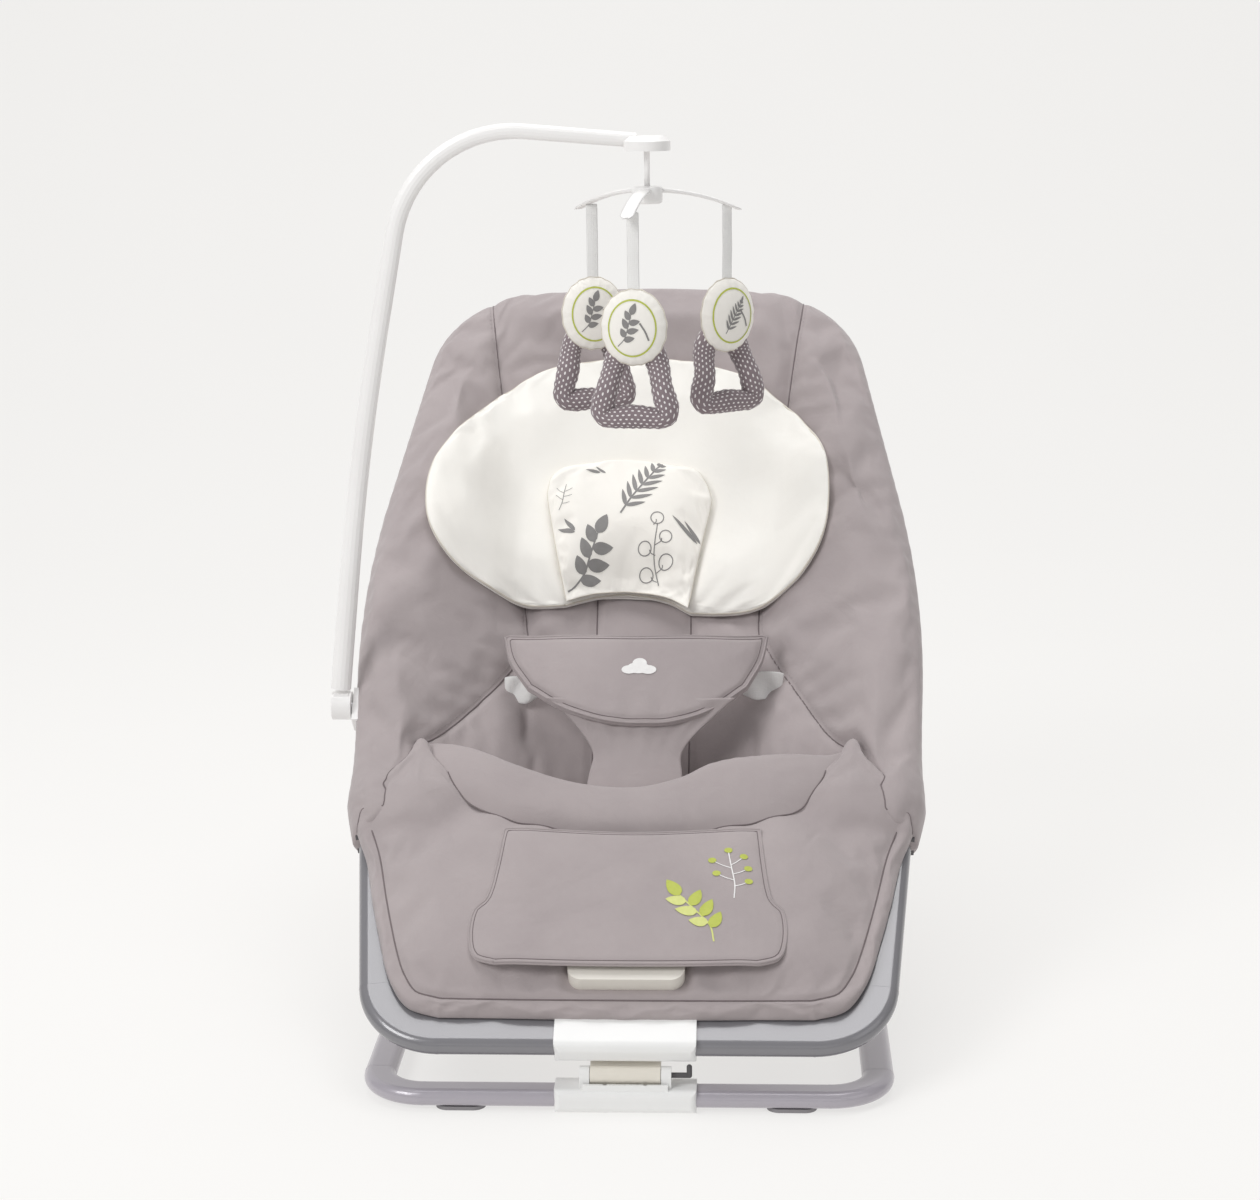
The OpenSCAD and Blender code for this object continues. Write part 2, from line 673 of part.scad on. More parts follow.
// --- Toy arm ---
module arm_socket() {
    color(white) difference() {
        on_back() translate([-253, arm_l - 16, -12]) cube([17, 32, 21]);
        on_back() mirror([1, 0, 0]) translate([back_start[0], back_start[1], 0])
            rotate([0, 0, back_head]) along_x(40, 100) oval(tube_w + 0.6, tube_t + 0.6);
        translate([0, arm_y, arm_z]) rod_x(-260, -230, arm_pin_r + 0.02);
    }
}
module arm_pin() {
    color(steel) translate([0, arm_y, arm_z]) rod_x(-knuckle_out + 3, -248, arm_pin_r);
}
module arm_knuckle() {
    color(white) translate([0, arm_y, arm_z]) difference() {
        union() {
            rod_x(-knuckle_out, -knuckle_in, 12.5);
            translate([-knuckle_out + 2, -7.5, 0]) cube([knuckle_out - knuckle_in - 4, 15, 12.4]);
        }
        rod_x(-knuckle_out + 2.6, -knuckle_in + 1, arm_pin_r + play);
    }
}
// Centre line of the arm in its own plane, from the head: straight, bend, straight, slow bend, straight
arm_start = [mobile_x - 9, head_z + 2.56];
arm_steps = [[0, 95], [105, 84], [0, 92], [2500, 4.5], [0, 116]];
arm_heading = 175;
function arm_node(i) = i == 0 ? [arm_start[0], arm_start[1], arm_heading]
    : let (p = arm_node(i - 1), s = arm_steps[i - 1])
    s[0] == 0 ? concat(along([p[0], p[1]], p[2], s[1]), p[2])
    : concat(turned([p[0], p[1]], p[2], s[0], s[1]), p[2] + s[1]);
function arm_at(i, t) = let (p = arm_node(i), s = arm_steps[i])
    s[0] == 0 ? concat(along([p[0], p[1]], p[2], s[1] * t), p[2])
    : concat(turned([p[0], p[1]], p[2], s[0], s[1] * t), p[2] + s[1] * t);
arm_parts = [4, 14, 3, 6, 4];
arm_rings = [for (i = [0:4], k = [0:arm_parts[i] - 1]) arm_at(i, k / arm_parts[i])];
module arm_tube() {
    rings = concat(arm_rings, [arm_node(5)]);
    sides = 16;
    last = len(rings) - 1;
    point = function(i, k) let (r = rings[i], f = i / last, a = 360 * k / sides,
        w = mix(6.2, 9, f) * cos(a), d = mix(5.6, 7.5, f) * sin(a))
        [r[0] - w * sin(r[2]), d, r[1] + w * cos(r[2])];
    points = [for (i = [0:last], k = [0:sides - 1]) point(i, k)];
    skin = [for (i = [0:last - 1], k = [0:sides - 1])
        let (a = i * sides + k, b = i * sides + (k + 1) % sides)
        each [[a, b, a + sides], [b, b + sides, a + sides]]];
    caps = [[for (k = [sides - 1:-1:0]) k], [for (k = [0:sides - 1]) last * sides + k]];
    color(white) translate([0, arm_y, 0]) polyhedron(points, concat(skin, caps));
}
module arm_head() {
    color(white) translate([mobile_x, arm_y, 0]) difference() {
        union() {
            translate([0, 0, head_z - 6]) cylinder(r = 20, h = 8);
            translate([0, 0, head_z + 2]) cylinder(r1 = 20, r2 = 15, h = 4, $fn = 64);
        }
        translate([0, 0, head_z - 8]) cylinder(r = 2.5 + play, h = 6);
        translate([0, 0, head_z - 3]) cylinder(r = 5.2, h = 5.5);
        translate([-20.5, -5.75, head_z - 8]) cube([12.1, 11.5, 20]);
    }
}

// --- Mobile: hub, stem and three drooping arms ---
toy_angles = [140, -100, 20];
toy_turns = [15, -8, 36];
droop_r = 156;
tip_angle = asin(spider_r / droop_r);
tip_drop = droop_r * (1 - cos(tip_angle));
module mobile_spider() {
    color(white) translate([mobile_x, arm_y, mobile_z]) {
        translate([0, 0, -9]) cylinder(r = 13, h = 14);
        cylinder(r = 2.5, h = head_z - mobile_z - 1);
        translate([0, 0, head_z - mobile_z - 2.9]) cylinder(r = 4.6, h = 4);
        for (a = toy_angles) rotate([0, 0, a]) translate([0, 5.5, -droop_r]) rotate([90, 0, 0])
            rotate([0, 0, 90 - tip_angle]) rotate_extrude(angle = tip_angle - 2)
            translate([droop_r, 0]) square([4.5, 11]);
    }
}
// A toy hangs from its arm's tip and turns a little about its own ribbon
module on_toy(i) {
    translate([mobile_x, arm_y, mobile_z - tip_drop]) rotate([0, 0, toy_angles[i]])
        translate([spider_r - 4, 0, 0]) rotate([0, 0, toy_turns[i] - toy_angles[i]]) children();
}
module ribbon(i) {
    color(white) on_toy(i) translate([-6, -0.6, -ribbon_len - 2]) cube([12, 1.2, ribbon_len]);
}
head_drop = ribbon_len + 31;
module toy_head(i) {
    color(cream) on_toy(i) translate([0, 0, -head_drop]) rotate([90, 0, 0])
        rotate_extrude() intersection() {
        oval(58, 22);
        translate([0, -20]) square([40, 40]);
    }
}
ring_r = 8;
ring_half = 31;
ring_h = 46;
ring_top = -head_drop - 30 - ring_r;
module toy_ring(i) {
    corners = [[0, ring_top], [ring_half, ring_top - ring_h], [-ring_half, ring_top - ring_h]];
    color(mauve) on_toy(i) for (k = [0:2]) {
        a = corners[k];
        b = corners[(k + 1) % 3];
        translate([a[0], 0, a[1]]) sphere(r = ring_r);
        translate([a[0], 0, a[1]]) rotate([0, 90 - atan2(b[1] - a[1], b[0] - a[0]), 0])
            cylinder(r = ring_r, h = norm(b - a));
    }
}
module toy_left_ribbon() { ribbon(0); }
module toy_left_head() { toy_head(0); }
module toy_left_ring() { toy_ring(0); }
module toy_front_ribbon() { ribbon(1); }
module toy_front_head() { toy_head(1); }
module toy_front_ring() { toy_ring(1); }
module toy_right_ribbon() { ribbon(2); }
module toy_right_head() { toy_head(2); }
module toy_right_ring() { toy_ring(2); }

base_tube();
base_housing_top();
base_housing_bottom();
base_housing_screws();
front_feet();
rear_feet();
fold_pin();
hinge_link();
bounce_pin();
bounce_spring();
fold_lever();
seat_tube();
seat_housing_top();
seat_housing_bottom();
seat_housing_screws();
hub_seat_left();
hub_seat_right();
recline_pins();
frame_rivets();
leg_rest_pad();
knee_roll();
seat_pocket();
crotch_pad();
belly_panel();
waist_straps();
harness_buckle();
vibration_case_top();
vibration_case_bottom();
battery_door();
battery();
vibration_motor();
vibration_button();
eccentric_weight();
front_flap();
back_tube();
back_rivets();
hub_back_left();
hub_back_right();
back_pad();
wing_left();
wing_right();
head_support();
head_cushion();
arm_socket();
arm_pin();
recline_button_left();
recline_button_right();
arm_knuckle();
arm_tube();
arm_head();
mobile_spider();
toy_left_ribbon();
toy_left_head();
toy_left_ring();
toy_front_ribbon();
toy_front_head();
toy_front_ring();
toy_right_ribbon();
toy_right_head();
toy_right_ring();
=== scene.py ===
"""Looks of the bouncer seat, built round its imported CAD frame. Lengths are in millimetres until a mesh is made."""
import math

import bpy
import numpy as np
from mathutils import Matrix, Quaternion, Vector
from mathutils.bvhtree import BVHTree


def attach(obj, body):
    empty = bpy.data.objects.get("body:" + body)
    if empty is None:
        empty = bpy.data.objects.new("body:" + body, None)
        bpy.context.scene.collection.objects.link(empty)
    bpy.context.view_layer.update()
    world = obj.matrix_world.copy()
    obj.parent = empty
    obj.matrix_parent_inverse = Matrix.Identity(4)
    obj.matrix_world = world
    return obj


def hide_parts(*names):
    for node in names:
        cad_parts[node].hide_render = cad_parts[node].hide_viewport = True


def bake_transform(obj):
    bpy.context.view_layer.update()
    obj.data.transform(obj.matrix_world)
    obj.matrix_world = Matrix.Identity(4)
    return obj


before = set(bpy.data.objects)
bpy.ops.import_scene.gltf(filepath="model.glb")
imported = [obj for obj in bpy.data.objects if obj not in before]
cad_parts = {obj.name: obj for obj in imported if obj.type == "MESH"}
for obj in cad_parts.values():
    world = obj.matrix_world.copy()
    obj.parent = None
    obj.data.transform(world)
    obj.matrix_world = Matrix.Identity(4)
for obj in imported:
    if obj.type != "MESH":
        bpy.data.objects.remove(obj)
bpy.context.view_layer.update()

SCENE = bpy.context.scene
MM = 0.001
SEAT_ANGLE = math.radians(31)
BACK_ANGLE = math.radians(46)
BAR = (8.0, 56.5)
HUB_V = 235.0
HUB = (BAR[0] + HUB_V * math.cos(SEAT_ANGLE), BAR[1] + HUB_V * math.sin(SEAT_ANGLE))


# --- Numbers and lines ---
def mix(a, b, t):
    return a + (b - a) * t


def ramp(t, a=0.0, b=1.0):
    """0 before a, 1 after b, and smooth between."""
    t = np.clip((t - a) / (b - a), 0, 1)
    return t * t * (3 - 2 * t)


def dome(t):
    """Quarter ellipse: 0 at 0 with a vertical start, 1 from 1 on."""
    return np.sqrt(1 - (1 - np.clip(t, 0, 1)) ** 2)


def params(count, crowd):
    t = np.linspace(0, 1, count + 1)
    return mix(t, 0.5 - 0.5 * np.cos(np.pi * t), crowd)


def spaced(line, count, crowd=0.0):
    """The line as count + 1 points; crowd gathers them at both ends."""
    line = np.asarray(line, float)
    s = np.concatenate([[0], np.cumsum(np.linalg.norm(np.diff(line, axis=0), axis=1))])
    t = params(count, crowd) * s[-1]
    return np.stack([np.interp(t, s, line[:, k]) for k in range(line.shape[1])], -1)


def curve(points, count, crowd=0.0, closed=False):
    """Smooth line through the points."""
    p = np.asarray(points, float)
    if closed:
        p = np.vstack([p[-1:], p, p[:2]])
    else:
        p = np.vstack([2 * p[0] - p[1], p, 2 * p[-1] - p[-2]])
    t = np.linspace(0, 1, 20, endpoint=False)[:, None]
    parts = [
        0.5 * (2 * b + (c - a) * t + (2 * a - 5 * b + 4 * c - d) * t**2 + (3 * b - a - 3 * c + d) * t**3)
        for a, b, c, d in zip(p, p[1:], p[2:], p[3:])
    ]
    return spaced(np.vstack(parts + [p[-2:-1]]), count, crowd)


def coons(bottom, top, left, right, crowd=0.0):
    """Grid of points between four lines: bottom and top run left to right, left and right run upwards."""
    u = params(len(bottom) - 1, crowd)[None, :, None]
    v = params(len(left) - 1, crowd)[:, None, None]
    ruled = (1 - v) * bottom[None] + v * top[None] + (1 - u) * left[:, None] + u * right[:, None]
    corners = (1 - v) * ((1 - u) * bottom[0] + u * bottom[-1]) + v * ((1 - u) * top[0] + u * top[-1])
    return ruled - corners


def distance(points, line):
    """Distance of each chart point from a line."""
    a = line[:-1]
    d = line[1:] - a
    flat = points.reshape(-1, 2)
    best = np.full(len(flat), 1e9)
    for p, q in zip(a, d):
        t = np.clip(((flat - p) @ q) / max(q @ q, 1e-9), 0, 1)
        best = np.minimum(best, ((flat - p - t[:, None] * q) ** 2).sum(-1))
    return np.sqrt(best).reshape(points.shape[:-1])


def mirrored(points):
    return [(-x, y) for x, y in points]


# --- Charts: flat frames that pieces are drawn in ---
class Chart:
    def __init__(self, origin, tilt, turn=0.0):
        """u across, v up the plane at that tilt, w out of it. turn is about +Z."""
        c, s = math.cos(turn), math.sin(turn)
        spin = np.array([[c, -s, 0], [s, c, 0], [0, 0, 1]])
        axes = [(1, 0, 0), (0, math.cos(tilt), math.sin(tilt)), (0, -math.sin(tilt), math.cos(tilt))]
        self.origin = np.array(origin, float)
        self.axes = np.array(axes) @ spin.T

    def out(self, u, v, w):
        u, v, w = np.broadcast_arrays(u, v, w)
        return self.origin + np.stack([u, v, w], -1) @ self.axes

    def into(self, points):
        return (points - self.origin) @ self.axes.T


SEAT = Chart((0, *BAR), SEAT_ANGLE)
BACK = Chart((0, *HUB), BACK_ANGLE)


# --- Meshes ---
def flat_uv(grid):
    """Surface lengths along rows and columns, so that a weave keeps its scale."""
    across = np.cumsum(np.linalg.norm(np.diff(grid, axis=1), axis=2), axis=1)
    across = np.concatenate([np.zeros((len(grid), 1)), across], 1)
    across -= across[:, across.shape[1] // 2][:, None]
    up = np.cumsum(np.linalg.norm(np.diff(grid, axis=0), axis=2), axis=0)
    up = np.concatenate([np.zeros((1, grid.shape[1])), up], 0)
    return np.stack([across, up], -1)


def add_mesh(name, points, faces, material, uv=None):
    mesh = bpy.data.meshes.new(name)
    mesh.from_pydata((np.asarray(points) * MM).tolist(), [], [tuple(map(int, f)) for f in faces])
    if uv is not None:
        layer = mesh.uv_layers.new(name="flat")
        index = np.zeros(len(mesh.loops), int)
        mesh.loops.foreach_get("vertex_index", index)
        layer.data.foreach_set("uv", (np.asarray(uv)[index] * MM).ravel())
    mesh.materials.append(material)
    mesh.shade_smooth()
    piece = bpy.data.objects.new(name, mesh)
    SCENE.collection.objects.link(piece)
    return piece


def grid_faces(ids):
    a, b, c, d = ids[:-1, :-1], ids[:-1, 1:], ids[1:, 1:], ids[1:, :-1]
    return np.stack([a, b, c, d], -1).reshape(-1, 4)


def shell(name, front, back, material):
    """Closed piece between two grids that share their rim."""
    rows, cols = front.shape[:2]
    ids = np.arange(rows * cols).reshape(rows, cols)
    inner = np.zeros((rows, cols), bool)
    inner[1:-1, 1:-1] = True
    back_ids = ids.copy()
    back_ids[inner] = rows * cols + np.arange(inner.sum())
    uv = flat_uv(front)
    return add_mesh(
        name,
        np.vstack([front.reshape(-1, 3), back[inner]]),
        np.vstack([grid_faces(ids), grid_faces(back_ids)[:, ::-1]]),
        material,
        np.vstack([uv.reshape(-1, 2), uv[inner]]),
    )


def thickened(front, thickness):
    """The grid's other side: front moved in along its normals, and the same at the rim."""
    across = np.gradient(front, axis=1)
    up = np.gradient(front, axis=0)
    normal = np.cross(across, up)
    normal /= np.maximum(np.linalg.norm(normal, axis=-1, keepdims=True), 1e-9)
    back = front - normal * thickness
    for edge in (np.s_[0, :], np.s_[-1, :], np.s_[:, 0], np.s_[:, -1]):
        back[edge] = front[edge]
    return back


def vertices(piece):
    co = np.zeros(len(piece.data.vertices) * 3)
    piece.data.vertices.foreach_get("co", co)
    return co.reshape(-1, 3) / MM


def set_vertices(piece, points):
    piece.data.vertices.foreach_set("co", (points * MM).ravel())
    piece.data.update()


def subdivided(piece):
    modifier = piece.modifiers.new("round", "SUBSURF")
    modifier.levels = modifier.render_levels = 1
    graph = bpy.context.evaluated_depsgraph_get()
    mesh = bpy.data.meshes.new_from_object(piece.evaluated_get(graph))
    piece.modifiers.clear()
    piece.data = mesh
    mesh.shade_smooth()
    return piece


def tree_of(piece):
    points = vertices(piece)
    return BVHTree.FromPolygons(points.tolist(), [tuple(p.vertices) for p in piece.data.polygons])


def heights(tree, chart, places, missing):
    """How far out of the chart the surface is at each chart point, seen from outside."""
    far = 200.0
    flat = places.reshape(-1, 2)
    start = chart.out(flat[:, 0], flat[:, 1], far)
    towards = Vector(-chart.axes[2])
    found = []
    for s in start:
        hit = tree.ray_cast(Vector(s), towards)
        found.append(missing if hit[0] is None else far - hit[3])
    return np.array(found).reshape(places.shape[:-1])


def tube(name, path, radius, material, sides=8, closed=False, up=(0, 0, 1)):
    """Round cord along a path. radius may be one number or one for each point."""
    path = np.asarray(path, float)
    radius = np.broadcast_to(radius, len(path))
    if closed:
        ahead = np.roll(path, -1, 0) - np.roll(path, 1, 0)
    else:
        ahead = np.gradient(path, axis=0)
    ahead /= np.linalg.norm(ahead, axis=1, keepdims=True)
    side = np.cross(ahead, np.broadcast_to(up, path.shape))
    side /= np.maximum(np.linalg.norm(side, axis=1, keepdims=True), 1e-9)
    over = np.cross(side, ahead)
    a = np.linspace(0, 2 * np.pi, sides, endpoint=False)
    ring = side[:, None] * np.cos(a)[:, None] + over[:, None] * np.sin(a)[:, None]
    points = path[:, None] + ring * radius[:, None, None]
    ids = np.arange(len(path) * sides).reshape(-1, sides)
    ids = np.concatenate([ids, ids[:, :1]], 1)
    if closed:
        ids = np.concatenate([ids, ids[:1]], 0)
    faces = grid_faces(ids)[:, ::-1].tolist()
    if not closed:
        faces += [ids[0, :-1].tolist(), ids[-1, -2::-1].tolist()]
    s = np.concatenate([[0], np.cumsum(np.linalg.norm(np.diff(path, axis=0), axis=1))])
    uv = np.stack(np.broadcast_arrays(a[None] * radius.max(), s[:, None]), -1).reshape(-1, 2)
    return add_mesh(name, points.reshape(-1, 3), faces, material, uv)


def joined(name, parts):
    """Several new pieces as one mesh."""
    bpy.ops.object.select_all(action="DESELECT")
    for p in parts:
        p.select_set(True)
    bpy.context.view_layer.objects.active = parts[0]
    bpy.ops.object.join()
    parts[0].name = parts[0].data.name = name
    return parts[0]


# --- Materials ---
def srgb(r, g, b):
    return tuple(((c / 255) / 12.92 if c <= 10 else ((c / 255 + 0.055) / 1.055) ** 2.4) for c in (r, g, b)) + (1.0,)


class Nodes:
    """A material's node tree, with short names for what is used often."""

    def __init__(self, name):
        self.material = bpy.data.materials.new(name)
        self.material.use_nodes = True
        self.tree = self.material.node_tree
        self.shader = self.tree.nodes["Principled BSDF"]

    def add(self, kind, **values):
        node = self.tree.nodes.new("ShaderNode" + kind)
        for key, value in values.items():
            setattr(node, key, value)
        return node

    def link(self, a, b):
        self.tree.links.new(a, b)

    def coords(self, kind="Object"):
        return self.add("TexCoord").outputs[kind]

    def noise(self, coords, scale, detail=3.0, rough=0.55, distortion=0.0):
        node = self.add("TexNoise")
        self.link(coords, node.inputs["Vector"])
        node.inputs["Scale"].default_value = scale
        node.inputs["Detail"].default_value = detail
        node.inputs["Roughness"].default_value = rough
        node.inputs["Distortion"].default_value = distortion
        return node.outputs["Fac"]

    def bands(self, coords, direction, period):
        node = self.add("TexWave", bands_direction=direction)
        self.link(coords, node.inputs["Vector"])
        node.inputs["Scale"].default_value = 0.3142 / period
        node.inputs["Distortion"].default_value = 0.4
        node.inputs["Detail Scale"].default_value = 3
        return node.outputs["Fac"]

    def math(self, operation, a, b=0.0):
        node = self.add("Math", operation=operation)
        for socket, value in zip(node.inputs, (a, b)):
            if isinstance(value, (int, float)):
                socket.default_value = value
            else:
                self.link(value, socket)
        return node.outputs[0]

    def blend(self, fac, a, b):
        node = self.add("Mix", data_type="RGBA")
        for index, value in ((0, fac), (6, a), (7, b)):
            if isinstance(value, (tuple, float)):
                node.inputs[index].default_value = value
            else:
                self.link(value, node.inputs[index])
        return node.outputs[2]

    def span(self, value, low, high):
        node = self.add("MapRange")
        self.link(value, node.inputs["Value"])
        node.inputs["To Min"].default_value = low
        node.inputs["To Max"].default_value = high
        return node.outputs["Result"]

    def bump(self, height, strength, depth_mm):
        node = self.add("Bump")
        node.inputs["Strength"].default_value = strength
        node.inputs["Distance"].default_value = depth_mm * MM
        self.link(height, node.inputs["Height"])
        last = self.shader.inputs["Normal"]
        if last.links:
            self.link(last.links[0].from_socket, node.inputs["Normal"])
        self.link(node.outputs["Normal"], last)

    def set(self, **values):
        for key, value in values.items():
            self.shader.inputs[key.replace("_", " ")].default_value = value

    def colour(self, socket):
        self.link(socket, self.shader.inputs["Base Color"])

    def rough(self, socket):
        self.link(socket, self.shader.inputs["Roughness"])


def fabric(name, base, shade, pitch=0.0009, weave=0.35, crumple=0.5, sheen=0.35, thread_highlight=None):
    """Woven cloth: two thread directions in its own lengths, mottled colour and soft creases; the raised threads are
    painted lighter, a painted highlight on the thread tops.
    """
    n = Nodes(name)
    uv = n.coords("UV")
    spot = n.coords("Object")
    threads = n.math("ADD", n.bands(uv, "X", pitch), n.bands(uv, "Y", pitch))
    fuzz = n.noise(spot, 900, 4, 0.7)
    n.bump(n.math("ADD", threads, fuzz), weave, 0.12)
    soft = n.noise(spot, 22, 5, 0.5, 0.6)
    n.bump(soft, crumple, 2.6)
    fold = n.noise(spot, 7, 3, 0.45, 1.4)
    n.bump(fold, crumple, 6.0)
    fine = n.noise(spot, 95, 4, 0.55, 0.8)
    n.bump(fine, crumple * 0.6, 0.35)
    mottle = n.span(n.noise(spot, 9, 6, 0.6), -0.35, 1.25)
    tone = n.blend(mottle, shade, base)
    # Painted highlight: the raised threads are blended up to 16 % towards the thread-top colour.
    n.colour(n.blend(n.span(threads, 0.0, 0.16), tone, thread_highlight or srgb(214, 206, 206)))
    rough = 0.86
    n.rough(n.span(fuzz, rough - 0.08, rough + 0.08))
    n.set(Sheen_Weight=sheen, Sheen_Roughness=0.45, Specular_IOR_Level=0.25)
    return n.material


def plastic(name, base, shade, rough=0.36, grain=0.12, coat=0.0):
    """Moulded plastic: fine grain, faint flow marks and slightly uneven gloss."""
    n = Nodes(name)
    spot = n.coords("Object")
    grains = n.noise(spot, 1600, 2, 0.5)
    n.bump(grains, grain, 0.05)
    n.bump(n.noise(spot, 40, 2, 0.4), 0.08, 0.3)
    n.colour(n.blend(n.noise(spot, 14, 4, 0.6), shade, base))
    n.rough(n.span(n.noise(spot, 60, 5, 0.65), rough - 0.07, rough + 0.09))
    n.set(Coat_Weight=coat, Coat_Roughness=0.15, Specular_IOR_Level=0.5)
    return n.material


def paint(name, base, shade, rough=0.3):
    """Powder-coated steel: orange peel, a clear top and dust in the low spots."""
    n = Nodes(name)
    spot = n.coords("Object")
    peel = n.noise(spot, 420, 2, 0.45)
    n.bump(peel, 0.16, 0.08)
    n.bump(n.noise(spot, 28, 2, 0.4), 0.05, 0.5)
    fleck = n.span(n.noise(spot, 2600, 1, 0.5), -0.6, 1.3)
    n.colour(n.blend(fleck, shade, base))
    n.rough(n.span(n.noise(spot, 35, 3, 0.5), rough - 0.02, rough + 0.04))
    n.set(Metallic=0.1, Coat_Weight=0.5, Coat_Roughness=0.12, Specular_IOR_Level=0.5)
    return n.material


def metal(name, base):
    n = Nodes(name)
    rough = 0.28
    spot = n.coords("Object")
    brushed = n.noise(spot, 700, 3, 0.6, 1.5)
    n.bump(brushed, 0.1, 0.04)
    n.colour(n.blend(n.noise(spot, 80, 4, 0.6), tuple(0.8 * c for c in base[:3]) + (1.0,), base))
    n.rough(n.span(brushed, rough - 0.08, rough + 0.12))
    n.set(Metallic=1.0)
    return n.material


def thread(name, base, shade):
    """Embroidery and sewing thread, or a print's ink that lies in the weave."""
    n = Nodes(name)
    spot = n.coords("Object")
    strands = n.bands(n.coords("UV"), "DIAGONAL", 0.0006)
    n.bump(n.math("ADD", strands, n.noise(spot, 1200, 3, 0.6)), 0.4, 0.12)
    n.colour(n.blend(n.noise(spot, 160, 3, 0.6), shade, base))
    n.rough(n.span(strands, 0.5, 0.75))
    n.set(Sheen_Weight=0.3, Sheen_Roughness=0.3)
    return n.material


def dotted(name, base, shade, dots):
    """Woven cloth with small printed drops in columns, every other column half a step lower."""
    n = Nodes(name)
    uv = n.coords("UV")
    spot = n.coords("Object")
    split = n.add("SeparateXYZ")
    n.link(uv, split.inputs[0])
    column = n.math("DIVIDE", split.outputs[0], 0.0038)
    odd = n.math("MULTIPLY", n.math("FLOOR", n.math("MODULO", n.math("FLOOR", column), 2.0)), 0.5)
    row = n.math("ADD", n.math("DIVIDE", split.outputs[1], 0.0050), odd)
    x = n.math("SUBTRACT", n.math("FRACT", column), 0.5)
    y = n.math("MULTIPLY", n.math("SUBTRACT", n.math("FRACT", row), 0.5), 0.9)
    reach = n.math("SQRT", n.math("ADD", n.math("MULTIPLY", x, x), n.math("MULTIPLY", y, y)))
    dot = n.math("LESS_THAN", n.math("ADD", reach, n.math("MULTIPLY", n.noise(spot, 400, 2), 0.1)), 0.25)
    threads = n.math("ADD", n.bands(uv, "X", 0.0007), n.bands(uv, "Y", 0.0007))
    n.bump(n.math("ADD", threads, n.noise(spot, 900, 3)), 0.4, 0.1)
    n.bump(n.noise(spot, 120, 4, 0.6, 0.6), 0.6, 0.8)
    n.colour(n.blend(dot, n.blend(n.noise(spot, 40, 4), shade, base), dots))
    n.rough(n.span(threads, 0.8, 0.92))
    n.set(Sheen_Weight=0.35, Sheen_Roughness=0.4, Specular_IOR_Level=0.25)
    return n.material


# The thread-top colours given to the cloths below are painted highlights on their raised threads.
BRIGHT_THREAD = srgb(255, 254, 250)
MAUVE = fabric("mauve_cloth", srgb(173, 163, 163), srgb(154, 144, 145), crumple=0.75)
MAUVE_DARK = thread("mauve_seam", srgb(124, 113, 114), srgb(104, 95, 96))
MAUVE_EDGE = fabric("mauve_piping", srgb(170, 160, 160), srgb(148, 138, 139), pitch=0.0006)
CREAM = fabric("cream_cloth", srgb(246, 244, 239), srgb(238, 235, 229), crumple=0.3, sheen=0.2, thread_highlight=BRIGHT_THREAD)
CREAM_EDGE = fabric("cream_piping", srgb(226, 220, 208), srgb(206, 199, 186), pitch=0.0006,
    thread_highlight=srgb(240, 236, 228))
PRINT = fabric("print_cloth", srgb(246, 243, 237), srgb(238, 234, 227), crumple=0.35, sheen=0.2, thread_highlight=BRIGHT_THREAD)
WEBBING = fabric("white_webbing", srgb(244, 244, 243), srgb(222, 221, 219), pitch=0.0016, weave=0.7, crumple=0.4,
    thread_highlight=srgb(252, 252, 252))
DOTS = dotted("dotted_cloth", srgb(146, 133, 137), srgb(126, 114, 118), srgb(236, 233, 232))
INK = thread("grey_ink", srgb(146, 144, 143), srgb(124, 122, 121))
GREEN = thread("green_thread", srgb(196, 204, 96), srgb(170, 180, 66))
PALE_GREEN = thread("pale_green_thread", srgb(222, 226, 150), srgb(198, 204, 112))
WHITE_THREAD = thread("white_thread", srgb(246, 245, 244), srgb(226, 224, 223))
WHITE = plastic("white_shell", srgb(244, 244, 243), srgb(236, 236, 235), coat=0.1)
ARM_WHITE = plastic("arm_shell", srgb(246, 245, 244), srgb(238, 236, 235), rough=0.3, coat=0.2)
LINK = plastic("link_shell", srgb(238, 233, 222), srgb(226, 220, 208), rough=0.4)
VIBRATION = plastic("vibration_shell", srgb(232, 228, 220), srgb(220, 215, 206), rough=0.42)
DARK = plastic("dark_shell", srgb(92, 90, 92), srgb(76, 74, 76), rough=0.5, grain=0.3)
RUBBER = plastic("foot_rubber", srgb(150, 147, 150), srgb(132, 129, 132), rough=0.8, grain=0.6)
FRAME = paint("frame_paint", srgb(132, 131, 135), srgb(127, 126, 130), rough=0.2)
BASE = paint("base_paint", srgb(180, 175, 183), srgb(173, 168, 176), rough=0.28)
STEEL = metal("bright_steel", srgb(196, 196, 200))

# The first key found in a CAD node's name decides its material.
LOOKS = {
    "screws": STEEL, "rivets": STEEL, "spring": STEEL, "feet": RUBBER, "recline_button": WHITE,
    "battery_door": VIBRATION, "motor": STEEL, "weight": STEEL, "base_tube": BASE, "seat_tube": FRAME,
    "back_tube": FRAME, "hinge_link": LINK, "fold_lever": DARK, "base_housing": WHITE, "seat_housing": WHITE,
    "hub": DARK, "vibration": VIBRATION, "button": VIBRATION, "battery": DARK, "buckle": WHITE,
    "mobile": ARM_WHITE, "arm_pin": STEEL, "arm_": ARM_WHITE, "pin": STEEL,
}
for node_name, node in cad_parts.items():
    for key, look in LOOKS.items():
        if key in node_name:
            node.data.materials.clear()
            node.data.materials.append(look)
            break
    node.data.shade_smooth()
    node.data.set_sharp_from_angle(angle=math.radians(32))


# --- The cover's surfaces, the same as the CAD's ---
SIDE_CENTRE = (-568.2, 163.6)
SHOULDER_CENTRE = (103.3, 457.2)
SIDE_R, SHOULDER_R = 800.0, 85.0
TOP_L, TOP_R = 549.4, 827.0
COVER_OUT, EDGE_IN, RIM, BUCKET = 22.0, 42.0, 15.0, 70.0
LOW_POINTS, SIDE_POINTS, BEND_POINTS, TOP_POINTS = 3, 12, 18, 6
CROWD = 0.45  # how far grid lines gather at their ends


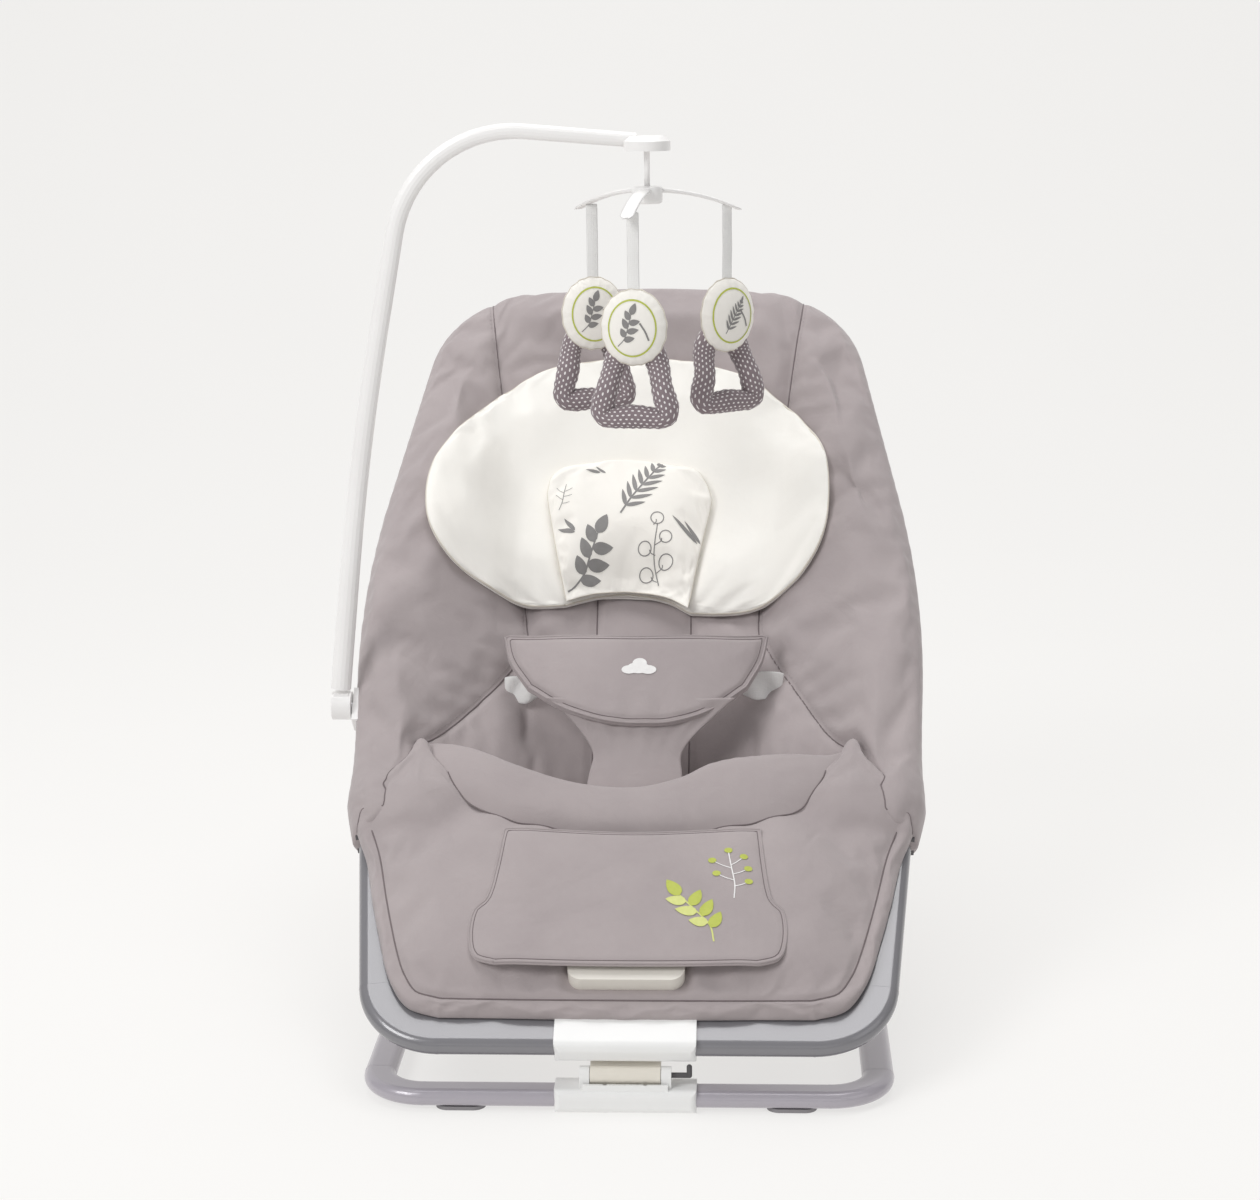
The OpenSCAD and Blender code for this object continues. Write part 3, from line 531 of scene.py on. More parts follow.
def arc(centre, radius, start, end, count):
    """Points of a circle between two angles in degrees."""
    angles = [math.radians(a) for a in np.linspace(start, end, count)]
    return [(centre[0] + radius * math.cos(a), centre[1] + radius * math.sin(a)) for a in angles]


def rail_line(out):
    """The backrest tube's line moved out, from the seat rail's end up to the middle of the top."""
    low = [(218.4 + out, -38), (222.7 + out + 3, 0), (225 + out + 1, 38)]
    side = arc(SIDE_CENTRE, SIDE_R + out, -4, 11, SIDE_POINTS)
    bend = arc(SHOULDER_CENTRE, SHOULDER_R + out, 11, 82, BEND_POINTS)
    top = arc((0, TOP_L - TOP_R), TOP_R + out, 82, 90, TOP_POINTS)
    return np.array(low + side + bend + top[1:])


RAIL = rail_line(COVER_OUT)


def rail_x(l):
    rising = RAIL[: np.argmax(RAIL[:, 1]) + 1]
    return np.interp(l, rising[:, 1], rising[:, 0])


def panel_x(l):
    return mix(106.0, 152.0, np.clip((l - 205) / 345, 0, 1))


def face(x, l):
    deep = BUCKET - (BUCKET + RIM - 3) * np.clip((l - 300) / (TOP_L - 17 - 300), 0, 1) ** 2
    t = np.clip(np.abs(x) / np.maximum(rail_x(l) - EDGE_IN, 1), 0, 1)
    return -deep + (deep + RIM) * t**2.6


# The plane under the cover, bent from the seat's slope to the backrest's at the hub.
BASE_L = np.linspace(-70, 620, 1400)
SLOPE = mix(SEAT_ANGLE, BACK_ANGLE, ramp(BASE_L, -30, 30))
BASE_Y = np.cumsum(np.cos(SLOPE)) * (BASE_L[1] - BASE_L[0])
BASE_Z = np.cumsum(np.sin(SLOPE)) * (BASE_L[1] - BASE_L[0])
BASE_Y += HUB[0] + 300 * math.cos(BACK_ANGLE) - np.interp(300, BASE_L, BASE_Y)
BASE_Z += HUB[1] + 300 * math.sin(BACK_ANGLE) - np.interp(300, BASE_L, BASE_Z)


def cover_point(x, l, o):
    """Point of the cover: x across, l up along the rails and the backrest, o out of them."""
    slope = np.interp(l, BASE_L, SLOPE)
    return np.stack([
        np.broadcast_to(x, np.shape(l)),
        np.interp(l, BASE_L, BASE_Y) - o * np.sin(slope),
        np.interp(l, BASE_L, BASE_Z) + o * np.cos(slope),
    ], -1)


SEAM_LINES = [
    curve([(-152, 556), (-149, 528), (-141, 465), (-122, 330), (-110, 232), (-108, 200), (-127, 157), (-153, 115),
        (-176, 82), (-196, 62)], 90),
    curve([(152, 556), (149, 528), (139, 465), (121, 330), (107, 228), (116, 192), (144, 134), (168, 86),
        (188, 62)], 90),
]
CENTRE_LINES = [np.array([(-43.5, 38.0), (-43.5, 262.0)]), np.array([(44.0, 38.0), (44.0, 262.0)])]


def make_cover():
    """Closed cloth over the backrest, with both wings; its grid's corners are halfway round the bends."""
    count = 88
    corner = LOW_POINTS + SIDE_POINTS + BEND_POINTS // 2
    right = spaced(RAIL[:corner], count, CROWD)
    top_half = RAIL[corner - 1:]
    top = spaced(np.vstack([top_half * (-1, 1), top_half[::-1][1:]]), count, CROWD)
    left = right * (-1, 1)
    low = [(240.4, -38), (214, -34), (180, -6), (140, 16), (80, 23), (0, 25)]
    bottom = curve(mirrored(low) + low[::-1][1:], count, CROWD)
    grid = coons(bottom, top, left, right, CROWD)
    x, l = grid[..., 0], grid[..., 1]
    q = distance(grid, np.vstack([left, top, right[::-1]]))
    q_low = distance(grid, bottom)
    inner = face(x, l)
    wing = np.clip((np.abs(x) - panel_x(l)) / np.maximum(rail_x(l) - EDGE_IN - panel_x(l) + 14, 8), 0, 1)
    puffed = inner + 9 * (4 * wing * (1 - wing)) ** 0.8 * ramp(l, 20, 90) * (1 - ramp(l, 480, 540))
    wrap = dome(q / 22)
    hub = np.exp(-((l / 44) ** 2))
    front = mix((17 + 13.5 * hub) * wrap, puffed + 13 * hub * (1 - ramp(q, 50, 84)), ramp(q, 20, 62))
    front += 5 * np.exp(-(((q - 30) / 16) ** 2)) * (1 - ramp(l, 330, 480))
    rear = mix(-(14.5 + 15 * hub) * wrap, inner - 20, ramp(q, 24 + 22 * hub, 80 + 6 * hub))
    pucker = np.sin(x * 0.42 + 1.1 * np.sin(x * 0.11)) * np.exp(-(((l - 66 - 0.06 * np.abs(x)) / 17) ** 2))
    front += 2.0 * pucker * ramp(x, 30, 80) * (1 - ramp(np.abs(x), 170, 195))
    front += 1.1 * pucker * ramp(-x, 30, 80) * (1 - ramp(np.abs(x), 170, 195))
    x = x + np.sign(x) * 3.2 * hub * (1 - ramp(q, 0, 40))
    middle = (front + rear) / 2
    close = dome(q_low / 7)
    front = middle + (front - middle) * close
    rear = middle + (rear - middle) * close
    return shell("cover", cover_point(x, l, front), cover_point(x, l, rear), MAUVE)


# --- Padded pieces drawn flat in a chart ---
def pad_grid(bottom, right, top, left, count_u, count_v):
    """Grid between four outlines, and its rim as one closed line."""
    lines = [np.asarray(a, float) for a in (bottom, top, left, right)]
    counts = (count_u, count_u, count_v, count_v)
    lines = [curve(a, c, CROWD) if len(a) > 2 else spaced(a, c, CROWD) for a, c in zip(lines, counts)]
    return coons(*lines, CROWD), np.vstack([lines[0], lines[3], lines[1][::-1], lines[2][::-1]])


def rimmed(q, front, rear, height):
    """Both sides of a pad, brought to one height at its rim, where q is 0."""
    return [np.where(q > 1e-6, side, height) for side in (front, rear)]


LEG_SIDE = [(150, 9), (176, 18), (191, 40), (201, 68), (214, 118), (225, 166), (237, 200)]
LEG_SEAM = [(237, 200), (233, 224), (216, 252), (200, 276), (188, 300)]
LEG_HIDDEN = [(188, 300), (166, 268), (124, 236), (66, 220), (0, 214)]


def make_leg_rest():
    low = [(-150, 9), (-60, 8), (60, 8), (150, 9)]
    top = mirrored(LEG_SEAM) + mirrored(LEG_HIDDEN)[1:] + LEG_HIDDEN[::-1][1:] + LEG_SEAM[::-1][1:]
    grid, rim = pad_grid(low, LEG_SIDE, top, mirrored(LEG_SIDE), 84, 60)
    x, v = grid[..., 0], grid[..., 1]
    q = distance(grid, rim)
    box = 10 + 11 * dome(q / 9)
    crown = 9 * np.sin(np.pi / 2 * np.clip((q - 11) / 46, 0, 1))
    groove = 2.6 * np.exp(-(((q - 12.5) / 2.6) ** 2)) * (1 - ramp(v, 190, 205))
    dent = ramp(52 - np.abs(x), 0, 5) * ramp(v, 24, 30) * (1 - ramp(v, 98, 104))
    front = box + crown - groove + 2 * ramp(v, 150, 230)
    front = mix(front, np.minimum(front, 20), dent)
    shoulder = 13 * ramp(v, 188, 240) * ramp(np.abs(x), 135, 175)
    sides = rimmed(q, front, 10 - 1.5 * dome(q / 9), 10)
    return shell("leg_rest", *(SEAT.out(x, v, side + shoulder) for side in sides), MAUVE), rim


KNEE_FRONT = [(-184, 296), (-182, 262), (-156, 232), (-115, 205), (-63, 190), (4, 183), (72, 189), (130, 206),
    (170, 236), (186, 268), (188, 290)]
KNEE_CREST = [(-178, 300), (-140, 280), (-102, 258), (-52, 238), (-2, 232), (38, 243), (71, 262), (122, 272),
    (164, 277), (184, 292)]


def make_knee_roll():
    """The seat's soft front edge and the pocket behind it: one surface from the front seam over and down."""
    columns = 88
    front = curve(KNEE_FRONT, columns)
    crest = curve(KNEE_CREST, columns)
    t = np.linspace(-1, 1, columns + 1)

    def along(line, height, fall, power):
        return SEAT.out(line[:, 0], line[:, 1], height - fall * np.abs(t) ** power)

    start = along(front, 25.0, -3, 4)
    bulge = along(mix(front, crest, 0.32), 36.5, 14, 6)
    mid = along(mix(front, crest, 0.7), 41.0, 20, 6)
    over = along(crest, 38.0, 19, 6)
    spread = 186 - 34 * np.abs(t) ** 2
    lift = 30 * t**4 + 8 * t**2
    behind = np.stack([crest[:, 0] * 0.97, over[:, 1] + 16, over[:, 2] - 14], -1)
    deep = np.stack([t * 172, 238 + 30 * np.abs(t) ** 3, 168 + lift * 1.4], -1)
    floor = np.stack([t * 158, 262 + 22 * np.abs(t) ** 3, 156 + lift * 1.2], -1)
    end = np.stack([t * spread * 0.86, 292 + 0 * t, 151 + lift], -1)
    keys = np.stack([start, bulge, mid, over, behind, deep, floor, end], 1)
    rows = 44
    grid = np.stack([curve(k, rows) for k in keys], 1)
    creases = np.sin(t * 95) * 0.7 + np.sin(t * 171 + 1.3) * 0.45 + np.sin(t * 43 + 0.4) * 0.5
    down = np.linspace(0, 1, rows + 1)
    gathers = np.exp(-(((down - 0.6) / 0.13) ** 2))[:, None] * creases[None] * (0.5 + 0.9 * ramp(t, 0.1, 0.5))[None]
    grid[..., 2] += 2.4 * gathers
    grid[..., 1] += 1.6 * gathers
    return shell("knee_roll_cloth", grid, thickened(grid, 7.0), MAUVE)


def make_crotch():
    """Padded strip down the middle of the pocket, puckered where it widens. Rows: centre x, y, z, half width."""
    rows = [(-2, 222, 176, 44), (-2, 232, 190, 43.5), (-1, 244, 204, 42), (0, 256, 218, 40), (1, 266, 232, 50),
        (2, 274, 247, 68), (2, 281, 262, 88)]
    keys = []
    for s in np.linspace(-1, 1, 7):
        keys.append([
            (c + s * w, y - 3 * (1 - s * s) + 5 * s * s * (w > 50), z + 2 * (1 - s * s)) for c, y, z, w in rows
        ])
    columns = np.stack([curve(k, 30) for k in keys], 1)
    grid = np.stack([curve(row, 26) for row in columns], 0)
    t = np.linspace(-1, 1, 27)[None]
    d = np.linspace(0, 1, 31)[:, None]
    puckers = np.sin(t * 21) * np.exp(-((d - 0.8) / 0.2) ** 2) + 0.6 * np.sin(t * 9 + 1) * d
    grid[..., 1] -= 1.1 * puckers
    return shell("crotch_cloth", grid, thickened(grid, 6.0), MAUVE)


BELLY = Chart((0, 274, 246), BACK_ANGLE)
BELLY_TOP = [(-126, 97), (-84, 87), (-3.5, 81.5), (76, 87), (117, 97)]
BELLY_LOW = [(-126, 97), (-119, 66), (-100, 33), (-68, 8), (-32, -7), (0.5, -11), (34, -8), (68, 8), (97, 35),
    (111, 66), (117, 97)]


def belly_depth(x):
    return -26 * (np.abs(x + 4) / 120) ** 2.4


def make_belly():
    grid, rim = pad_grid(BELLY_LOW[2:-2], BELLY_LOW[-3:], BELLY_TOP, BELLY_LOW[:3][::-1], 60, 30)
    x, w = grid[..., 0], grid[..., 1]
    q = distance(grid, rim)
    bend = belly_depth(x)
    gather = np.exp(-((w - 8) / 16) ** 2) * np.exp(-((x - 2) / 38) ** 2) * np.sin(x / 4.6) * 1.1
    front = 3.5 + 5.5 * dome(q / 8) + 2.5 * np.sin(np.pi / 2 * np.clip(q / 40, 0, 1))
    front = front - 1.6 * np.exp(-((q - 5.5) / 1.6) ** 2) + gather
    front, rear = rimmed(q, front, 3.5 - 3.5 * dome(q / 8), 3.5)
    piece = shell("belly_cloth", BELLY.out(x, w, front + bend), BELLY.out(x, w, rear + bend), MAUVE)
    return piece, rim


FLAP_SIDE = [(109, 190), (113, 144), (118, 112), (128, 99), (130, 72), (124, 50), (106, 41)]


def make_flap():
    side = FLAP_SIDE[::-1]
    low, high = [(-106, 41), (-40, 39), (40, 39), (106, 41)], [(-109, 190), (0, 183), (109, 190)]
    grid, rim = pad_grid(low, side, high, mirrored(side), 64, 44)
    x, v = grid[..., 0], grid[..., 1]
    q = distance(grid, rim)
    lift = 35.2 + 2.2 * ramp(v, 170, 60) + 1.2 * np.sin(v / 26.0 + 1) * ramp(q, 0, 30) - 4.5 * ramp(np.abs(x), 86, 132)
    lift -= 2.5 * ramp(v, 168, 190)
    front = lift + 2 + 2.4 * dome(q / 5) + 1.4 * ramp(q, 0, 40) - 1.1 * np.exp(-((q - 4.6) / 1.4) ** 2)
    front, rear = rimmed(q, front, lift + 2 - 2.0 * dome(q / 5), lift + 2)
    return shell("front_flap_cloth", SEAT.out(x, v, front), SEAT.out(x, v, rear), MAUVE), rim


HEAD_LEFT = [(-72.5, 240), (-96, 237), (-126, 237), (-168, 250), (-194, 281), (-201, 318), (-197, 350),
    (-182, 382), (-163, 415), (-140, 445)]
HEAD_RIGHT = [(43, 234), (66, 232), (92, 233), (121, 238), (147, 252), (167, 284), (173, 330), (168, 372),
    (147, 418), (109, 461)]
HEAD_TOP = [(-140, 445), (-114, 466), (-84, 482), (-45, 489), (-7, 490), (22, 489), (51, 485), (82, 475), (109, 461)]
NOTCH = [(-72.5, 240), (-56, 247), (-41, 252), (-13, 255), (20, 248), (43, 234)]
CUSHION_LEFT = [(-72, 240), (-82, 286), (-92, 340), (-92, 352)]
CUSHION_RIGHT = [(42, 231), (52, 284), (63, 335), (64, 345)]
CUSHION_TOP = [(-92, 352), (-88, 366), (-68, 379), (-15, 388), (42, 379), (57, 364), (64, 345)]
CUSHION_LOW = [(-72, 240), (-55, 246), (-40, 251), (-13, 254), (20, 245), (42, 231)]


def flat_pad(name, grid, rim, thick, crown, material, slim_foot=False):
    """Pad drawn at height 0 in its chart; it is bent onto what it lies on afterwards. slim_foot thins its low end."""
    q = distance(grid, rim)
    domed = thick * 0.5 * dome(q / 10.0)
    front = thick * 0.5 + domed + crown * np.sin(np.pi / 2 * np.clip(q / 60, 0, 1))
    front, rear = rimmed(q, front, thick * 0.5 - domed, thick * 0.5)
    if slim_foot:
        slim = mix(0.35, 1, ramp(np.arange(grid.shape[0]) / (grid.shape[0] - 1), 0, 0.3))[:, None]
        front, rear = front * slim, rear * slim
    return shell(name, *(np.concatenate([grid, side[..., None]], -1) for side in (front, rear)), material)


# --- Cloth simulation ---
PUFFS = []
PUFF_FRAMES = 18


def puff(piece, pinned, pressure, extra, cap):
    """Notes a piece to be blown up a little by the simulation; pinned vertices stay."""
    group = piece.vertex_groups.new(name="pin")
    for weight, where in pinned:
        group.add([int(i) for i in np.flatnonzero(where)], weight, "ADD")
    cloth = piece.modifiers.new("puff", "CLOTH")
    s = cloth.settings
    s.quality = 5
    s.mass = 0.25
    s.tension_stiffness = s.compression_stiffness = 18
    s.shear_stiffness = 6
    s.bending_stiffness = 0.6
    s.use_pressure = True
    s.uniform_pressure_force = pressure
    s.vertex_group_mass = "pin"
    s.shrink_min = -extra
    s.effector_weights.gravity = 0
    cloth.collision_settings.use_collision = False
    cloth.collision_settings.use_self_collision = False
    cloth.point_cache.frame_start = 1
    cloth.point_cache.frame_end = 40
    PUFFS.append((piece, cap, vertices(piece)))


def run_puffs():
    """Runs every noted simulation at once and keeps the result, with each point's move capped."""
    for number in range(1, PUFF_FRAMES + 1):
        SCENE.frame_set(number)
    graph = bpy.context.evaluated_depsgraph_get()
    results = []
    for piece, cap, before in PUFFS:
        mesh = piece.evaluated_get(graph).data
        co = np.zeros(len(mesh.vertices) * 3)
        mesh.vertices.foreach_get("co", co)
        move = co.reshape(-1, 3) / MM - before
        size = np.linalg.norm(move, axis=1, keepdims=True)
        move *= np.minimum(1, cap / np.maximum(size, 1e-6))
        results.append((piece, (before + move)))
    for piece, points in results:
        piece.modifiers.clear()
        piece.vertex_groups.clear()
        set_vertices(piece, points)
    SCENE.frame_set(1)


cover = make_cover()
leg_rest, leg_rim = make_leg_rest()
knee = make_knee_roll()
crotch = make_crotch()
belly, belly_rim = make_belly()
flap, flap_rim = make_flap()
head_grid, head_rim = pad_grid(NOTCH, HEAD_RIGHT, HEAD_TOP, HEAD_LEFT, 70, 64)
support = flat_pad("head_support_pad", head_grid, head_rim, 11.0, 4.0, CREAM)
cushion_grid, cushion_rim = pad_grid(CUSHION_LOW, CUSHION_RIGHT, CUSHION_TOP, CUSHION_LEFT, 44, 44)
cushion = flat_pad("head_cushion_pad", cushion_grid, cushion_rim, 13.0, 7.0, PRINT, slim_foot=True)


def in_chart(piece, chart):
    return chart.into(vertices(piece))


def near(points2, lines, width):
    best = np.full(len(points2), 1e9)
    for line in lines:
        best = np.minimum(best, distance(points2, line))
    return best < width


c = in_chart(cover, BACK)
rear_side = c[:, 2] < face(c[:, 0], c[:, 1]) - 8
seam_near = near(c[:, :2], SEAM_LINES, 3.6)
puff(cover, [
    (1.0, seam_near), (1.0, rear_side), (1.0, c[:, 1] < -24), (0.9, np.abs(c[:, 0]) > rail_x(c[:, 1]) - 9),
    (1.0, c[:, 1] > TOP_L + 12),
], 2.4, 0.03, 8.0)
s = in_chart(leg_rest, SEAT)
leg_q = distance(s[:, :2], leg_rim)
dent_zone = (np.abs(s[:, 0]) < 54) & (s[:, 1] > 22) & (s[:, 1] < 106)
puff(leg_rest, [(1.0, s[:, 2] < 11), (1.0, np.abs(leg_q - 12.5) < 3.0), (1.0, dent_zone)], 2.2, 0.02, 6.0)
flat_q = distance(vertices(support)[:, :2], head_rim)
puff(support, [(1.0, flat_q < 2)], 2.0, 0.02, 6.0)
flat_q = distance(vertices(cushion)[:, :2], cushion_rim)
puff(cushion, [(1.0, flat_q < 2)], 3.0, 0.03, 8.0)
run_puffs()


def bent_onto(piece, under, chart, sink=1.0):
    """Bends a pad drawn flat at height 0 onto the piece that it lies on."""
    flat = vertices(piece)
    tree = tree_of(under)
    step = 12.0
    us = np.arange(flat[:, 0].min() - step, flat[:, 0].max() + step, step)
    vs = np.arange(flat[:, 1].min() - step, flat[:, 1].max() + step, step)
    field = heights(tree, chart, np.stack(np.meshgrid(us, vs), -1), np.nan)
    field = np.where(np.isnan(field), np.nanmean(field), field)
    for _ in range(2):
        wide = np.pad(field, 1, mode="edge")
        field = (wide[:-2, 1:-1] + wide[2:, 1:-1] + wide[1:-1, :-2] + wide[1:-1, 2:] + 2 * field) / 6
    a = np.clip((flat[:, 0] - us[0]) / step, 0, len(us) - 1.001)
    b = np.clip((flat[:, 1] - vs[0]) / step, 0, len(vs) - 1.001)
    i, j = a.astype(int), b.astype(int)
    fa, fb = a - i, b - j
    height = (field[j, i] * (1 - fa) * (1 - fb) + field[j, i + 1] * fa * (1 - fb)
        + field[j + 1, i] * (1 - fa) * fb + field[j + 1, i + 1] * fa * fb)
    set_vertices(piece, chart.out(flat[:, 0], flat[:, 1], flat[:, 2] + height - sink))


def sink(piece, chart, lines, depth, width):
    """Presses seams into the piece's outer side."""
    points = vertices(piece)
    flat = chart.into(points)
    normals = np.zeros(len(points) * 3)
    piece.data.vertices.foreach_get("normal", normals)
    facing = np.clip(normals.reshape(-1, 3) @ chart.axes[2] * 1.6, 0, 1)
    best = np.full(len(points), 1e9)
    for line in lines:
        best = np.minimum(best, distance(flat[:, :2], line))
    flat[:, 2] -= depth * np.exp(-((best / width) ** 2)) * facing
    set_vertices(piece, chart.out(flat[:, 0], flat[:, 1], flat[:, 2]))


subdivided(cover)
sink(cover, BACK, SEAM_LINES + CENTRE_LINES, 3.2, 3.6)
for soft in (leg_rest, knee, crotch, belly, flap):
    subdivided(soft)
bent_onto(support, cover, BACK)
subdivided(support)
bent_onto(cushion, support, BACK, 2.0)
subdivided(cushion)


# --- Seams, piping and stitches that lie on a finished piece ---
def laid(tree, chart, line, lift):
    w = heights(tree, chart, line, np.nan)
    good = ~np.isnan(w)
    line, w = line[good], w[good]
    if len(w) > 4:
        w = np.convolve(np.pad(w, 1, mode="edge"), [0.25, 0.5, 0.25], "valid")
    return chart.out(line[:, 0], line[:, 1], w + lift)


def seam_cords(name, piece, chart, lines, radius=0.75, lift=-0.1, material=MAUVE_DARK):
    tree = tree_of(piece)
    parts = []
    for line in lines:
        length = np.linalg.norm(np.diff(line, axis=0), axis=1).sum()
        path = laid(tree, chart, spaced(line, max(int(length / 4), 4)), lift)
        parts.append(tube(name, path, radius, material, 6, up=chart.axes[2]))
    return joined(name, parts)


def crease(name, over, under, chart, starts, ends, radius=0.8):
    """Dark seam where one soft piece comes out of another, searched from the starts towards the ends."""
    count, steps = 110, 44
    starts, ends = curve(starts, count), curve(ends, count)
    keep = slice(int(0.04 * count), int(0.96 * count) + 1)
    starts, ends = starts[keep], ends[keep]
    s = np.linspace(0, 1, steps)[None, :, None]
    places = mix(starts[:, None], ends[:, None], s)
    over_h = heights(tree_of(over), chart, places, -500.0)
    under_h = heights(tree_of(under), chart, places, -500.0)
    out = (over_h > under_h) & (under_h > -400)
    first = np.argmax(out, axis=1)
    good = out.any(axis=1) & (first > 0)
    rows = np.arange(len(first))
    path = places[rows, first][good]
    height = np.maximum(over_h, under_h)[rows, first][good]
    flat = np.column_stack([path, height])
    for _ in range(4):
        flat[1:-1] = (flat[:-2] + 2 * flat[1:-1] + flat[2:]) / 4
    return tube(name, chart.out(flat[:, 0], flat[:, 1], flat[:, 2] - 0.1), radius, MAUVE_DARK, 6, up=chart.axes[2])


def stitches(name, piece, chart, lines, material, length=2.6, gap=1.8, radius=0.34):
    """Short sewn stitches along lines."""
    tree = tree_of(piece)
    parts_points, parts_faces = [], []
    for line in lines:
        total = np.linalg.norm(np.diff(line, axis=0), axis=1).sum()
        path = laid(tree, chart, spaced(line, max(int(total / 1.1), 6)), 0.12)
        s = np.concatenate([[0], np.cumsum(np.linalg.norm(np.diff(path, axis=0), axis=1))])
        for begin in np.arange(2.0, s[-1] - length - 2, length + gap):
            ends = [np.array([np.interp(begin + length * f, s, path[:, k]) for k in range(3)]) for f in (0, 0.5, 1)]
            ahead = ends[2] - ends[0]
            ahead /= max(np.linalg.norm(ahead), 1e-9)
            side = np.cross(ahead, chart.axes[2])
            start = len(parts_points)
            up = chart.axes[2]
            for end, wide in zip(ends, (0.35, 1.0, 0.35)):
                parts_points += [end + way * radius * wide for way in (side, up, -side, -up)]
            for k in (start, start + 4):
                for m in range(4):
                    after = (m + 1) % 4
                    parts_faces.append((k + m, k + after, k + 4 + after, k + 4 + m))
            parts_faces += [(start + 3, start + 2, start + 1, start), (start + 8, start + 9, start + 10, start + 11)]
    points = np.array(parts_points)
    return add_mesh(name, points, parts_faces, material, points[:, :2])


def inset(rim, amount):
    """The outline moved inwards."""
    line = rim[:-1] if np.allclose(rim[0], rim[-1]) else rim
    ahead = np.roll(line, -1, 0) - np.roll(line, 1, 0)
    ahead /= np.maximum(np.linalg.norm(ahead, axis=1, keepdims=True), 1e-9)
    moved = line + np.stack([-ahead[:, 1], ahead[:, 0]], -1) * amount
    good = distance(moved, np.vstack([line, line[:1]])) > abs(amount) * 0.8
    moved = moved[good]
    return np.vstack([moved, moved[:1]])


def clean_rim(rim):
    keep = np.concatenate([[True], np.linalg.norm(np.diff(rim, axis=0), axis=1) > 0.05])
    return rim[keep]


leg_rim, belly_rim, flap_rim, head_rim, cushion_rim = map(
    clean_rim, (leg_rim, belly_rim, flap_rim, head_rim, cushion_rim))
cover_seams = seam_cords("cover_seams", cover, BACK, SEAM_LINES + CENTRE_LINES)
cover_stitches = stitches("cover_stitches", cover, BACK,
    [SEAM_LINES[0] + (-3.2, 0.8), SEAM_LINES[1] + (3.2, 0.8)], MAUVE_EDGE)
leg_line = inset(leg_rim, 12.5)
leg_line = leg_line[leg_line[:, 1] < 196]
split = np.argmax(np.linalg.norm(np.diff(leg_line, axis=0), axis=1)) + 1
leg_line = np.vstack([leg_line[split:], leg_line[:split]])
if np.linalg.norm(leg_line[0] - leg_line[1]) > 60:
    leg_line = leg_line[1:]
leg_seams = seam_cords("leg_rest_seam", leg_rest, SEAT, [leg_line])
knee_starts = np.array(KNEE_FRONT[1:-1])
knee_ends = np.array([curve(KNEE_CREST, 10)[k] for k in range(1, 10)])
knee_crease = crease("knee_roll_seam", knee, leg_rest, SEAT, [(x, v - 6) for x, v in KNEE_FRONT[1:-1]],
    mix(knee_starts, knee_ends, 0.6))
COVER_EDGE_OUT = [(244, 192), (240, 222), (224, 256), (208, 282), (192, 306)]
COVER_EDGE_IN = [(196, 176), (184, 198), (170, 222), (160, 246), (150, 268)]
leg_creases = joined("leg_rest_creases", [
    crease("crease_right", leg_rest, cover, SEAT, COVER_EDGE_OUT, COVER_EDGE_IN, 0.7),
    crease("crease_left", leg_rest, cover, SEAT, mirrored(COVER_EDGE_OUT), mirrored(COVER_EDGE_IN), 0.7)])
belly_piping = seam_cords("belly_piping", belly, BELLY, [inset(belly_rim, 2.2)], 1.1, 0.1, MAUVE_EDGE)
belly_seam = seam_cords("belly_seam", belly, BELLY, [inset(belly_rim, 5.6)], 0.5, -0.1)
flap_piping = seam_cords("flap_piping", flap, SEAT, [inset(flap_rim, 1.8)], 1.0, 0.0, MAUVE_EDGE)
flap_seam = seam_cords("flap_seam", flap, SEAT, [inset(flap_rim, 4.7)], 0.45, -0.1)
support_piping = seam_cords("support_piping", support, BACK, [inset(head_rim, 1.5)], 1.2, -1.0, CREAM_EDGE)
cushion_seam = seam_cords("cushion_seam", cushion, BACK, [inset(cushion_rim, 1.0)], 0.7, -0.6, CREAM_EDGE)


# --- Prints and embroidery, all of generic designs ---
def leaf(root, angle, length, width):
    """A leaf as a small grid of points, its root at root."""
    t = np.linspace(0, 1, 9)
    half = width / 2 * np.sin(np.pi * t**0.75) ** 0.8
    a = math.radians(angle)
    ahead, side = np.array([math.cos(a), math.sin(a)]), np.array([-math.sin(a), math.cos(a)])
    return np.array([
        [root + ahead * length * ti + side * h * s for s in (-1, -0.5, 0, 0.5, 1)] for ti, h in zip(t, half)
    ])


def stem(points, width):
    line = curve(points, 14)
    ahead = np.gradient(line, axis=0)
    ahead /= np.linalg.norm(ahead, axis=1, keepdims=True)
    side = np.stack([-ahead[:, 1], ahead[:, 0]], -1) * width / 2
    return np.stack([line - side, line, line + side], 1)


def ring_shape(centre, r_out, r_in, count=20):
    a = np.linspace(0, 2 * np.pi, count + 1)
    circle = np.stack([np.cos(a), np.sin(a)], -1)
    return np.stack([centre + circle * r_in, centre + circle * r_out], 1)


def blob(centre, rx, ry):
    a = np.linspace(0, 2 * np.pi, 17)
    circle = np.stack([np.cos(a) * rx, np.sin(a) * ry], -1)
    return np.stack([centre + circle * f for f in (0.02, 0.5, 1.0)], 1)


def drawn(name, shapes, tree, chart, place, turn, size, material, lift=0.35):
    """Draws flat shapes onto a surface at a place in its chart."""
    a = math.radians(turn)
    spin = np.array([[math.cos(a), math.sin(a)], [-math.sin(a), math.cos(a)]]) * size
    points, faces, uv, start = [], [], [], 0
    for shape in shapes:
        flat = shape.reshape(-1, 2) @ spin + place
        w = heights(tree, chart, flat, np.nan)
        if np.isnan(w).any():
            continue
        points.append(chart.out(flat[:, 0], flat[:, 1], w + lift))
        uv.append(flat)
        ids = np.arange(len(flat)).reshape(shape.shape[:2]) + start
        turned = grid_faces(ids)
        corner, beside, above = flat[0], flat[1], flat[shape.shape[1]]
        middle = np.cross(np.append(beside - corner, 0), np.append(above - corner, 0))[2]
        faces.append(turned if middle > 0 else turned[:, ::-1])
        start += len(flat)
    return add_mesh(name, np.vstack(points), np.vstack(faces), material, np.vstack(uv))


